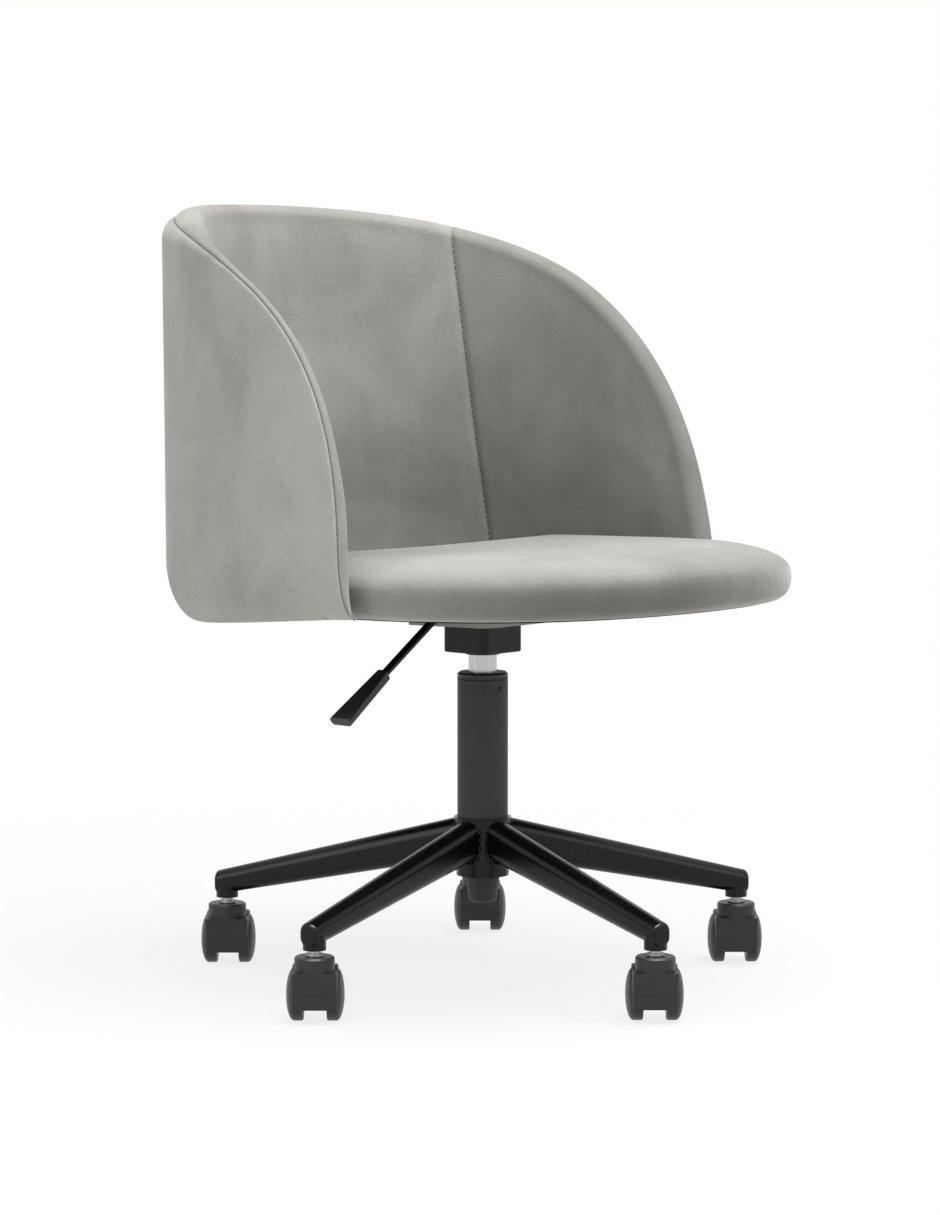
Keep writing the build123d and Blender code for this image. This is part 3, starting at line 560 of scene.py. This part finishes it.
# %% Make the outer cover
COVER_BACK = 0.0056
WALL_STEPS = [1 + step / 30 for step in range(1, 31)]
BELOW_ROLL = [0.0, 0.15, 0.3, 0.5, 0.75, 1.0]
cover_turns = [SEAM_TURN * step / 12 for step in range(12, 0, -1)]


def cover_depth(distance, plain):
    """Depth of the cover below the roll, rolled under at the foot and less so beside the edge."""
    away = soft_step((distance - ROLL_WING) / (BAND - ROLL_WING))

    def depth(along, rise):
        tuck = foot_roll(rise)
        beside = max(0.0, EDGE_TUCK - plain) * tuck * TUCK_SHARE
        return plain + beside * (1 - away) + FOOT_TUCK * tuck * away

    return depth


def below_roll(share):
    """Distance at a share of the way from the roll's end to the end of the band."""
    return lambda along: roll_out(along) + (BAND - roll_out(along)) * share


def cover_profile():
    """Over the roll, down the outer face, and back up inside it."""
    outside = [(below_roll(share), cover_depth(BAND * share, 0.0)) for share in BELOW_ROLL]
    outside += [(step, cover_depth(BAND, 0.0)) for step in WALL_STEPS]
    inside = [(step, cover_depth(BAND, COVER_BACK)) for step in reversed(WALL_STEPS)]
    inside += [(below_roll(share), cover_depth(BAND * share, COVER_BACK)) for share in reversed(BELOW_ROLL)]
    over = [roll(turn) for turn in cover_turns]
    under = [roll(turn, COVER_BACK) for turn in reversed(cover_turns)]
    return over + outside + inside + under


last = len(column_rows) - 1
left_run = [(index, 1) for index in range(last + 1)]
right_run = [(index, -1) for index in range(last - 1, -1, -1)]
cover_shape = cover_profile()
cover_rings = [profile_ring(index, side, cover_shape) for index, side in left_run + right_run]
back_cover = swept("back_cover_velvet", cover_rings, velvet_finish)
print("outer cover faces:", len(back_cover.data.polygons))

# %% [markdown]
# ## Lining
#
# The lining is three padded panels. They start in the seam, come over the crest and go
# down the inside. The padding swells between the panels' own seams and dips into them.
# The dips could be painted on with a bump, but then the crest would stay smooth where the
# seams cross it, so they are shaped. Each panel is its own closed piece, as it is sewn.

# %% Make the three lining panels
PAD_BACK = 0.0152
LINING_FOOT = 0.008
SWELL = 0.0026
SWELL_RUN = 0.05
SWELL_RISE = 0.12
DIP = 0.0034
BRACKET_ROOM = 0.007
BRACKET_TOP = 0.1
BAND_STEPS = [0.0138, 0.0158, 0.019, 0.023, 0.028, 0.034, BAND]
lining_turns = [SEAM_TURN + (math.pi - SEAM_TURN) * step / 20 for step in range(20)]


def inner_depth(distance):
    """Depth of the lining's face, with its swell and the dips at the seams."""
    away = soft_step((distance - ROLL_IN) / (BAND - ROLL_IN))

    def depth(along, rise):
        apart = abs(along - SEAM_ALONG)
        lift = SWELL * (1 - math.exp(-((apart / SWELL_RUN) ** 2))) * min(1.0, rise / SWELL_RISE)
        return wall_depth(along, rise) + lift * away - DIP * math.exp(-((apart / SEAM_WIDTH) ** 2))

    return depth


def pad_back(along, rise):
    """Depth of the panel's back, further in where the brackets are."""
    return PAD_BACK + BRACKET_ROOM * min(1.0, max(0.0, (BRACKET_TOP - rise) / 0.03))


def lining_profile():
    """Over the roll, down the face, and up again behind the padding."""
    rows = [roll(turn) for turn in lining_turns]
    rows += [(step, inner_depth(step)) for step in BAND_STEPS + WALL_STEPS]
    rows += [(step, pad_back) for step in reversed(BAND_STEPS + WALL_STEPS)]
    return rows


lining_shape = lining_profile()
seam_column = int(np.argmin([abs(row[0][0] - SEAM_ALONG) for row in column_rows]))
panel_runs = {
    "left": left_run[: seam_column + 1],
    "centre": left_run[seam_column:] + right_run[: last - seam_column],
    "right": right_run[last - seam_column - 1 :],
}
lining = {}
for panel, run in panel_runs.items():
    rings = [profile_ring(index, side, lining_shape, LINING_FOOT) for index, side in run]
    lining[panel] = swept("lining_" + panel, rings, velvet_finish if panel == "centre" else shaded_side_velvet)
    print("lining", panel, "faces:", len(lining[panel].data.polygons))

# %% [markdown]
# ## Seat cushion
#
# The cushion is a slab of foam with a rounded front and a back cut to the tub. Its sides
# roll in to a full line and over to a low crown, which falls towards the back. A bevelled
# slab has none of that, so the shape is drawn as rings from the recess for the board to
# the middle of the crown, and then the cloth is stuffed.

# %% Sizes and outline of the cushion
SEAT_HEIGHT = 0.377
SEAT_TILT = math.radians(1.5)
SIDE_GAP = 0.0045
TAIL_GAP = 0.0035
LEAN_LEVEL = 0.0495
SEAT_HALF = TUB_HALF - WALL - SIDE_GAP - LEAN_LEVEL * TUB_LEAN
SEAT_NOSE_START = 0.075
SEAT_NOSE = 0.225
SEAT_TAIL = TUB_HALF - WALL - TAIL_GAP
SEAT_FULL = 0.025
SEAT_RIM = 0.053
SEAT_TOP = 0.055
SEAT_FALL = 0.0245
FALL_START = 0.025
FALL_LATER = 0.065
FALL_END = 0.29
FRONT_POWER = 2 / 2.35
RIM_POWER = 2.2
RIM_RUN = 0.070
CROWN_RUN = 0.186
RING_MIDDLE = -0.017
RECESS = 0.0255
BOARD = 0.0122
FOOT_INSET = 0.018


def seat_point(across, back, rise):
    """Places a point of the seat in space, on its tilted plane and a height over it."""
    level = SEAT_HEIGHT - back * math.sin(SEAT_TILT) + rise * math.cos(SEAT_TILT)
    return (across, back * math.cos(SEAT_TILT) + rise * math.sin(SEAT_TILT), level)


def fallen(rise, across, back):
    """A height of the cushion's upper half, let down towards the back, and sooner in the middle."""
    start = FALL_START + FALL_LATER * (across / SEAT_HALF) ** 2
    past = min(1.0, max(0.0, (back - start) / (FALL_END - start)))
    lowered = 1 - SEAT_FALL * past**1.1 / (SEAT_TOP - SEAT_FULL)
    return min(rise, SEAT_FULL) + max(0.0, rise - SEAT_FULL) * lowered


def seat_ring(inset, rise, share=1.0, count=56, sides=14):
    """One ring of the cushion: full round front, straight sides, round back."""
    half = SEAT_HALF - inset
    ring = []
    for step in range(count):
        turn = math.pi * step / count
        ring.append((half * math.cos(turn), TUB_CENTRE + (SEAT_TAIL - inset) * math.sin(turn)))
    for step in range(sides):
        ring.append((-half, TUB_CENTRE - (TUB_CENTRE + SEAT_NOSE_START) * step / sides))
    for step in range(count):
        turn = math.pi * step / count
        across, ahead = -math.cos(turn), math.sin(turn) ** FRONT_POWER
        across = math.copysign(abs(across) ** FRONT_POWER, across)
        ring.append((half * across, -SEAT_NOSE_START - (SEAT_NOSE - inset) * ahead))
    for step in range(sides):
        ring.append((half, -SEAT_NOSE_START + (TUB_CENTRE + SEAT_NOSE_START) * step / sides))
    placed = [(share * x, RING_MIDDLE + share * (y - RING_MIDDLE)) for x, y in ring]
    return [seat_point(x, y, fallen(rise, x, y)) for x, y in placed]


# %% Make the cushion's shape
def crown_height(inset):
    """Height over the seat at a distance in from its side: a round rim and then a low crown."""
    rim = (1 - (1 - min(1.0, inset / RIM_RUN)) ** RIM_POWER) ** (1 / RIM_POWER)
    crown = 1 - (1 - inset / CROWN_RUN) ** 2
    return SEAT_FULL + (SEAT_RIM - SEAT_FULL) * rim + (SEAT_TOP - SEAT_RIM) * crown


def cushion_rings():
    """From the roof of the board's recess round the underside and the full line to the crown."""
    rings = [seat_ring(RECESS, BOARD, share) for share in (0.02, 0.3, 0.6, 0.85, 1.0)]
    rings += [seat_ring(RECESS, BOARD / 2), seat_ring(RECESS, 0.0), seat_ring(RECESS - 0.004, 0.0)]
    for step in range(9):
        turn = math.pi / 2 * (1 - step / 8)
        rings.append(seat_ring(FOOT_INSET * (1 - math.cos(turn)), SEAT_FULL * (1 - math.sin(turn))))
    for step in range(1, 31):
        inset = CROWN_RUN * (step / 30) ** 2
        rings.append(seat_ring(inset, crown_height(inset)))
    rings += [seat_ring(CROWN_RUN, SEAT_TOP, share) for share in (0.7, 0.35, 0.02)]
    return rings


seat_cushion = swept("seat_cushion_velvet", cushion_rings(), seat_velvet_painted_light)
print("cushion faces:", len(seat_cushion.data.polygons))

# %% [markdown]
# ## Stuffing the cushion
#
# Foam under velvet never lies quite flat. Noise would make it lumpy, so a short cloth
# simulation with a little pressure inside swells the sides and crown. The underside is
# pinned. The moves are then evened out between neighbours and kept under two millimetres,
# so that the cloth doesn't pucker and the cushion keeps to its space in the tub.

# %% Swell the cushion with a cloth simulation
VOXEL = 0.005
SWELL_LIMIT = 0.0016
SIM_FRAMES = 20
PRESSURE = 4.0
SMOOTHING = 16
PINNED_BELOW = 0.016


def above_board(point):
    """Height over the seat board's underside, along the seat's own upright."""
    return (point.z - SEAT_HEIGHT) * math.cos(SEAT_TILT) + point.y * math.sin(SEAT_TILT)


def settled(piece):
    """The piece's mesh as its modifiers leave it; the modifiers are then removed."""
    graph = bpy.context.evaluated_depsgraph_get()
    mesh = bpy.data.meshes.new_from_object(piece.evaluated_get(graph), depsgraph=graph)
    piece.modifiers.clear()
    return mesh


def even_out(piece):
    """Gives the piece even faces, which cloth needs."""
    remesh = piece.modifiers.new("even_faces", "REMESH")
    remesh.mode = "VOXEL"
    remesh.voxel_size = VOXEL
    piece.data = settled(piece)


def blown_up(piece):
    """The mesh after some frames of cloth under pressure, held at the underside."""
    low = [vertex.index for vertex in piece.data.vertices if above_board(vertex.co) < PINNED_BELOW]
    piece.vertex_groups.new(name="held").add(low, 1.0, "REPLACE")
    cloth = piece.modifiers.new("stuffing", "CLOTH")
    cloth.settings.use_pressure = True
    cloth.settings.uniform_pressure_force = PRESSURE
    cloth.settings.vertex_group_mass = "held"
    cloth.settings.effector_weights.gravity = 0.0
    cloth.point_cache.frame_start = 1
    cloth.point_cache.frame_end = SIM_FRAMES
    for moment in range(1, SIM_FRAMES + 1):
        bpy.context.scene.frame_set(moment)
    swollen = settled(piece)
    piece.vertex_groups.clear()
    bpy.context.scene.frame_set(1)
    return swollen


def stuff(piece):
    """Swells the piece by the cloth's moves, evened out between neighbours and limited."""
    even_out(piece)
    start = places(piece.data)
    move = places(blown_up(piece)) - start
    ends = np.array([edge.vertices[:] for edge in piece.data.edges])
    joined = np.bincount(ends.ravel(), minlength=len(start))[:, None]
    for _ in range(SMOOTHING):
        around = np.zeros_like(move)
        np.add.at(around, ends[:, 0], move[ends[:, 1]])
        np.add.at(around, ends[:, 1], move[ends[:, 0]])
        move = (move + around / joined) / 2
    length = np.maximum(np.linalg.norm(move, axis=1, keepdims=True), 1e-9)
    move *= SWELL_LIMIT / (SWELL_LIMIT + length)
    piece.data.vertices.foreach_set("co", (start + move).ravel())
    print("cushion moved up to %.1f mm" % (1000 * np.linalg.norm(move, axis=1).max()))


stuff(seat_cushion)
finer = seat_cushion.modifiers.new("finer", "SUBSURF")
finer.levels = finer.render_levels = 1
seat_cushion.data = settled(seat_cushion)
seat_cushion.data.materials.clear()
seat_cushion.data.materials.append(seat_velvet_painted_light)
seat_cushion.data.shade_smooth()

# %% [markdown]
# ## Painted light on the seat
#
# The number that the seat's velvet reads is set here, point by point, as painted light:
# full on the top, less on the sides, where a painted sheen lightens all but one patch at
# the front, and a painted shadow under the back. It rides on the mesh, so the painted light
# stays with the cushion from any side.

# %% Paint the light on the seat
CORNER_RUN = 0.22
CORNER_SHADE = 0.95
PATCH_TURN = -0.45
PATCH_WIDTH = 0.6
SIDE_PAINTED_LIGHT = 0.42
TOP_POWER = 2.6


def painted_pile_light(point, upward):
    """Painted light: 1 on the top, less on the sides and at the front patch, and painted shade under the
    back.
    """
    behind = max(0.0, point.y - TUB_CENTRE) / SEAT_TAIL
    inside = SEAT_HALF * (1 - math.hypot(point.x / SEAT_HALF, behind))
    painted_back_shade = (1 - soft_step(inside / CORNER_RUN)) * soft_step((point.y + 0.08) / 0.12)
    turn = math.atan2(point.x, -point.y)
    brushed_and_painted_sheen = 1 - math.exp(-(((turn - PATCH_TURN) / PATCH_WIDTH) ** 2))
    top = max(0.0, upward) ** TOP_POWER
    return (top + (1 - top) * SIDE_PAINTED_LIGHT * brushed_and_painted_sheen) * (1 - CORNER_SHADE * painted_back_shade)


# The number holds painted light and shade, which the seat's velvet reads.
nap = seat_cushion.data.attributes.new("nap", "FLOAT", "POINT")
painted_light_share = [painted_pile_light(vertex.co, vertex.normal.z) for vertex in seat_cushion.data.vertices]
nap.data.foreach_set("value", painted_light_share)
print("cushion faces now:", len(seat_cushion.data.polygons))

# %% [markdown]
# ## Thread and weld beads on paths
#
# A row of stitches and a weld are the same rule: small lumps set along a path. One
# Geometry Nodes tree does both. It takes a path of mesh edges, spaces points along it,
# and sets a lengthened ball on each, turned along the path. The result is made a plain
# mesh, because instances don't travel with a model.


# %% Build the tree of lumps on a path
def lump_tree():
    """The tree, and the identifiers of its inputs by label."""
    tree = bpy.data.node_groups.new("lumps_on_path", "GeometryNodeTree")
    face = tree.interface
    face.new_socket("Path", in_out="INPUT", socket_type="NodeSocketGeometry")
    wanted = {}
    for label in ("Spacing", "Length", "Radius", "Unevenness"):
        wanted[label] = face.new_socket(label, in_out="INPUT", socket_type="NodeSocketFloat").identifier
    wanted["Finish"] = face.new_socket("Finish", in_out="INPUT", socket_type="NodeSocketMaterial").identifier
    face.new_socket("Lumps", in_out="OUTPUT", socket_type="NodeSocketGeometry")

    def add(kind, **settings):
        made = tree.nodes.new(kind)
        for key, value in settings.items():
            setattr(made, key, value)
        return made

    join = tree.links.new
    given = add("NodeGroupInput")
    curve = add("GeometryNodeMeshToCurve")
    points = add("GeometryNodeCurveToPoints", mode="LENGTH")
    ball = add("GeometryNodeMeshUVSphere")
    ball.inputs["Segments"].default_value = 8
    ball.inputs["Rings"].default_value = 6
    ball.inputs["Radius"].default_value = 1.0
    turn = add("FunctionNodeAlignRotationToVector", axis="Z")
    halved = add("ShaderNodeMath", operation="MULTIPLY")
    halved.inputs[1].default_value = 0.5
    size = add("ShaderNodeCombineXYZ")
    least = add("ShaderNodeMath", operation="SUBTRACT")
    least.inputs[0].default_value = 1.0
    uneven = add("FunctionNodeRandomValue", data_type="FLOAT")
    uneven.inputs["Seed"].default_value = 7
    uneven.inputs[3].default_value = 1.0
    scaled = add("ShaderNodeVectorMath", operation="SCALE")
    placed = add("GeometryNodeInstanceOnPoints")
    real = add("GeometryNodeRealizeInstances")
    smooth = add("GeometryNodeSetShadeSmooth")
    dressed = add("GeometryNodeSetMaterial")
    result = add("NodeGroupOutput")

    join(given.outputs["Path"], curve.inputs["Mesh"])
    join(curve.outputs["Curve"], points.inputs["Curve"])
    join(given.outputs["Spacing"], points.inputs["Length"])
    join(points.outputs["Points"], placed.inputs["Points"])
    join(points.outputs["Tangent"], turn.inputs["Vector"])
    join(turn.outputs["Rotation"], placed.inputs["Rotation"])
    join(ball.outputs["Mesh"], placed.inputs["Instance"])
    join(given.outputs["Length"], halved.inputs[0])
    join(given.outputs["Radius"], size.inputs["X"])
    join(given.outputs["Radius"], size.inputs["Y"])
    join(halved.outputs[0], size.inputs["Z"])
    join(given.outputs["Unevenness"], least.inputs[1])
    join(least.outputs[0], uneven.inputs[2])
    join(size.outputs[0], scaled.inputs[0])
    join(uneven.outputs[1], scaled.inputs["Scale"])
    join(scaled.outputs[0], placed.inputs["Scale"])
    join(placed.outputs["Instances"], real.inputs["Geometry"])
    join(real.outputs["Geometry"], smooth.inputs["Geometry"])
    join(smooth.outputs["Geometry"], dressed.inputs["Geometry"])
    join(given.outputs["Finish"], dressed.inputs["Material"])
    join(dressed.outputs["Geometry"], result.inputs["Lumps"])
    return tree, wanted


lumps, lump_inputs = lump_tree()
print("lump tree nodes:", len(lumps.nodes))


# %% Turn a path into lumps
def lumps_along(name, paths, sizes, finish):
    """One plain mesh of lumps along open or closed rows of points."""
    points, edges = [], []
    for path in paths:
        first = len(points)
        points += [tuple(point) for point in path]
        edges += [(first + step, first + step + 1) for step in range(len(path) - 1)]
    mesh = bpy.data.meshes.new(name)
    mesh.from_pydata(points, edges, [])
    piece = bpy.data.objects.new(name, mesh)
    bpy.context.scene.collection.objects.link(piece)
    modifier = piece.modifiers.new("lumps", "NODES")
    modifier.node_group = lumps
    for label, value in sizes.items():
        modifier[lump_inputs[label]] = value
    modifier[lump_inputs["Finish"]] = finish
    piece.data = settled(piece)
    print(name, "faces:", len(piece.data.polygons))
    return piece


# %% [markdown]
# ## Seam thread
#
# The seam behind the edge shows its thread as short dark dashes in the groove, and so do
# the two upright seams of the lining. The thread is darker than the cloth, partly as painted
# shade of the groove. The paths come from the same map as the cloth, so the stitches lie in
# the grooves wherever these are moved.

# %% Sew the seams
THREAD = {"Spacing": 0.0056, "Length": 0.0042, "Radius": 0.0006, "Unevenness": 0.2}
THREAD_STEPS = [0.02, 0.03, BAND] + WALL_STEPS[:-8]
THREAD_PROUD = 0.0001
# The thread's dark grey is partly its own colour and partly painted shade of the groove.
shaded_thread_finish = hard_finish("seam_thread", rgb(62, 61, 58), 0.8, grain_scale=1800.0, relief=0.4)


def edge_seam():
    """The groove from one wing's foot over the back to the other."""
    distance, depth = roll(SEAM_TURN)
    path = []
    for index, side in left_run + right_run:
        start, way = column_rows[index]
        along, rise = start + way * distance(start[0])
        rise = max(0.0, rise)
        path.append(wall_point(along, rise, depth(along, rise), side))
    return path


def lining_seam(side):
    """The dip between two panels, down to just below the seat's top."""
    start, way = column_rows[seam_column]
    path = []
    for step in THREAD_STEPS:
        along, rise = down(start, way, step, LINING_FOOT)
        path.append(wall_point(along, rise, wall_depth(along, rise) - DIP + THREAD_PROUD, side))
    return path


edge_thread = lumps_along("edge_seam_thread", [edge_seam()], THREAD, shaded_thread_finish)
lining_thread = lumps_along("lining_seam_thread", [lining_seam(1), lining_seam(-1)], THREAD, shaded_thread_finish)

# %% [markdown]
# ## Welds at the hub
#
# Each arm is welded to the hub, and under the paint the bead still shows. The bead follows
# the arm's end, so its path is read from the arm's own mesh: the points nearest the hub,
# put in order round the end.

# %% Weld the arms to the hub
WELD = {"Spacing": 0.0021, "Length": 0.0042, "Radius": 0.0019, "Unevenness": 0.3}
WELD_RADIUS = 0.0282
WELD_REACH = 0.05
WELD_POINTS = 49


def weld_path(node):
    """Points round the end of an arm, laid on the hub's round face."""
    points = places(frame["nodes"][node].data)
    middle = points.mean(axis=0)
    outward = middle[:2] / np.hypot(*middle[:2])
    aside = np.array([-outward[1], outward[0]])
    across = points[:, :2] @ aside
    near = points[:, :2] @ outward < WELD_REACH
    height = points[near, 2]
    centre = (height.max() + height.min()) / 2
    turn = np.arctan2(height - centre, across[near])
    path = []
    for angle in np.linspace(-math.pi, math.pi, WELD_POINTS):
        gap = np.abs(np.angle(np.exp(1j * (turn - angle))))
        pick = np.argmin(gap)
        offset = across[near][pick]
        forward = math.sqrt(max(0.0, WELD_RADIUS**2 - offset**2))
        path.append((*(outward * forward + aside * offset), height[pick]))
    return path


weld_paths = [weld_path("base_arm_%d" % number) for number in range(1, 6)]
welds = lumps_along("hub_welds", weld_paths, WELD, slot_finish["black_steel"])

# %% [markdown]
# ## Everything rides on a body
#
# The soft pieces stand for plain solids of the measured model. Each is hung on the body it
# moves with, and the solids they stand for are hidden.

# %% Tie the pieces to the bodies
seat_pieces = (back_cover, seat_cushion, edge_thread, lining_thread, *lining.values())
for piece in seat_pieces:
    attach(piece, "seat")
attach(welds, "base")
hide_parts("back_cover")
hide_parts("seat_cushion")
for panel, piece in lining.items():
    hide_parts("back_pad_" + panel)
print("pieces on the seat:", len(seat_pieces))

# %% [markdown]
# ## Floor and light
#
# The chair stands on a white floor under wide soft lamps, and one narrow lamp only draws
# highlights on the black arms. Seen straight by the camera the floor glows nearly white,
# but it still takes the chair's shadow. The room is white to the same rays, and to all
# others it gives a faint even light.

# %% Lay the floor
WHITE = (1.0, 1.0, 1.0, 1.0)
SEEN_RAYS = ("Is Camera Ray", "Is Glossy Ray", "Is Transmission Ray")
FLOOR_HALF = 30.0


def floor_finish():
    """White that glows where it is seen, a little less close to the chair, and else takes light."""
    finish = Finish("white_floor")
    rays = [finish.node("ShaderNodeLightPath", {}, {}, out=kind) for kind in SEEN_RAYS]
    plain = finish.node("ShaderNodeBsdfDiffuse", {}, {"Color": (0.86, 0.86, 0.86, 1.0)})
    glow = finish.node("ShaderNodeEmission", {}, {"Color": WHITE, "Strength": 1.0})
    place = finish.node("ShaderNodeTexCoord", {}, {}, out="Object")
    apart = finish.node("ShaderNodeVectorMath", {"operation": "LENGTH"}, {0: place}, out="Value")
    far = finish.node("ShaderNodeMapRange", {}, {"Value": apart, 1: 0.35, 2: 1.4, 3: 0.82, 4: 1.0})
    seen = (rays[0] + rays[1] + rays[2]) * far
    mixed = finish.node("ShaderNodeMixShader", {}, {0: seen, 1: plain, 2: glow})
    finish.node("ShaderNodeOutputMaterial", {}, {"Surface": mixed}, out=None)
    return finish.material


floor_corners = [(x * FLOOR_HALF, y * FLOOR_HALF, 0) for x, y in ((-1, -1), (1, -1), (1, 1), (-1, 1))]
floor_mesh = bpy.data.meshes.new("floor")
floor_mesh.from_pydata(floor_corners, [], [(0, 1, 2, 3)])
floor_mesh.materials.append(floor_finish())
floor = bpy.data.objects.new("floor", floor_mesh)
bpy.context.scene.collection.objects.link(floor)
print("floor side: %.0f m" % (2 * FLOOR_HALF))


# %% Hang the lamps
def lamp(name, place, target, size, power, soft=True):
    """An area lamp; one that isn't soft only shows as a highlight on gloss."""
    data = bpy.data.lights.new(name, "AREA")
    data.shape = "RECTANGLE"
    data.size, data.size_y = size
    data.energy = power
    holder = bpy.data.objects.new(name, data)
    holder.location = place
    holder.rotation_euler = (Vector(target) - Vector(place)).to_track_quat("-Z", "Y").to_euler()
    holder.visible_diffuse = soft
    bpy.context.scene.collection.objects.link(holder)


LAMP_TARGET = (0.0, 0.0, 0.45)
lamp("lamp_over", (0.0, -0.7, 3.0), LAMP_TARGET, (2.6, 2.2), 102.0)
lamp("lamp_left", (-3.0, 0.4, 1.5), LAMP_TARGET, (1.6, 2.2), 27.0)
lamp("lamp_front", (0.9, -3.2, 1.6), LAMP_TARGET, (1.6, 1.6), 15.0)
lamp("lamp_strip", (-1.1, -1.0, 2.6), LAMP_TARGET, (3.0, 0.5), 190.0, soft=False)

# %% Light the room
ROOM_LIGHT = 0.32
world = bpy.data.worlds.new("white_room")
world.use_nodes = True
world.node_tree.nodes.clear()
sky = world.node_tree.nodes.new("ShaderNodeBackground")
sky.inputs["Color"].default_value = WHITE
path = world.node_tree.nodes.new("ShaderNodeLightPath")
strength = None
for ray in SEEN_RAYS:
    share = world.node_tree.nodes.new("ShaderNodeMath")
    share.operation = "MULTIPLY_ADD"
    share.inputs[1].default_value = 1 - ROOM_LIGHT
    share.inputs[2].default_value = ROOM_LIGHT
    world.node_tree.links.new(path.outputs[ray], share.inputs[0])
    if strength:
        world.node_tree.links.new(strength, share.inputs[2])
    strength = share.outputs[0]
target = world.node_tree.nodes.new("ShaderNodeOutputWorld")
world.node_tree.links.new(strength, sky.inputs["Strength"])
world.node_tree.links.new(sky.outputs[0], target.inputs["Surface"])
bpy.context.scene.world = world
bpy.context.scene.view_settings.view_transform = "Standard"
print("room light:", ROOM_LIGHT)

# %% [markdown]
# ## Camera
#
# The camera stands where the picture was taken from: a little above the seat, to the
# front and the sitter's right, with a long lens.

# %% Set up the camera
CAMERA_PLACE = (-2.7865, -2.5010, 0.7075)
CAMERA_TURN = 0.836
CAMERA_PITCH = 0.0896
CAMERA_LENS = 113.16
camera_data = bpy.data.cameras.new("camera")
camera_data.lens = CAMERA_LENS
camera = bpy.data.objects.new("camera", camera_data)
camera.location = CAMERA_PLACE
camera.rotation_euler = (math.pi / 2 - CAMERA_PITCH, 0.0, -CAMERA_TURN)
bpy.context.scene.collection.objects.link(camera)
bpy.context.scene.camera = camera
print("camera distance: %.2f m" % Vector(CAMERA_PLACE).length)
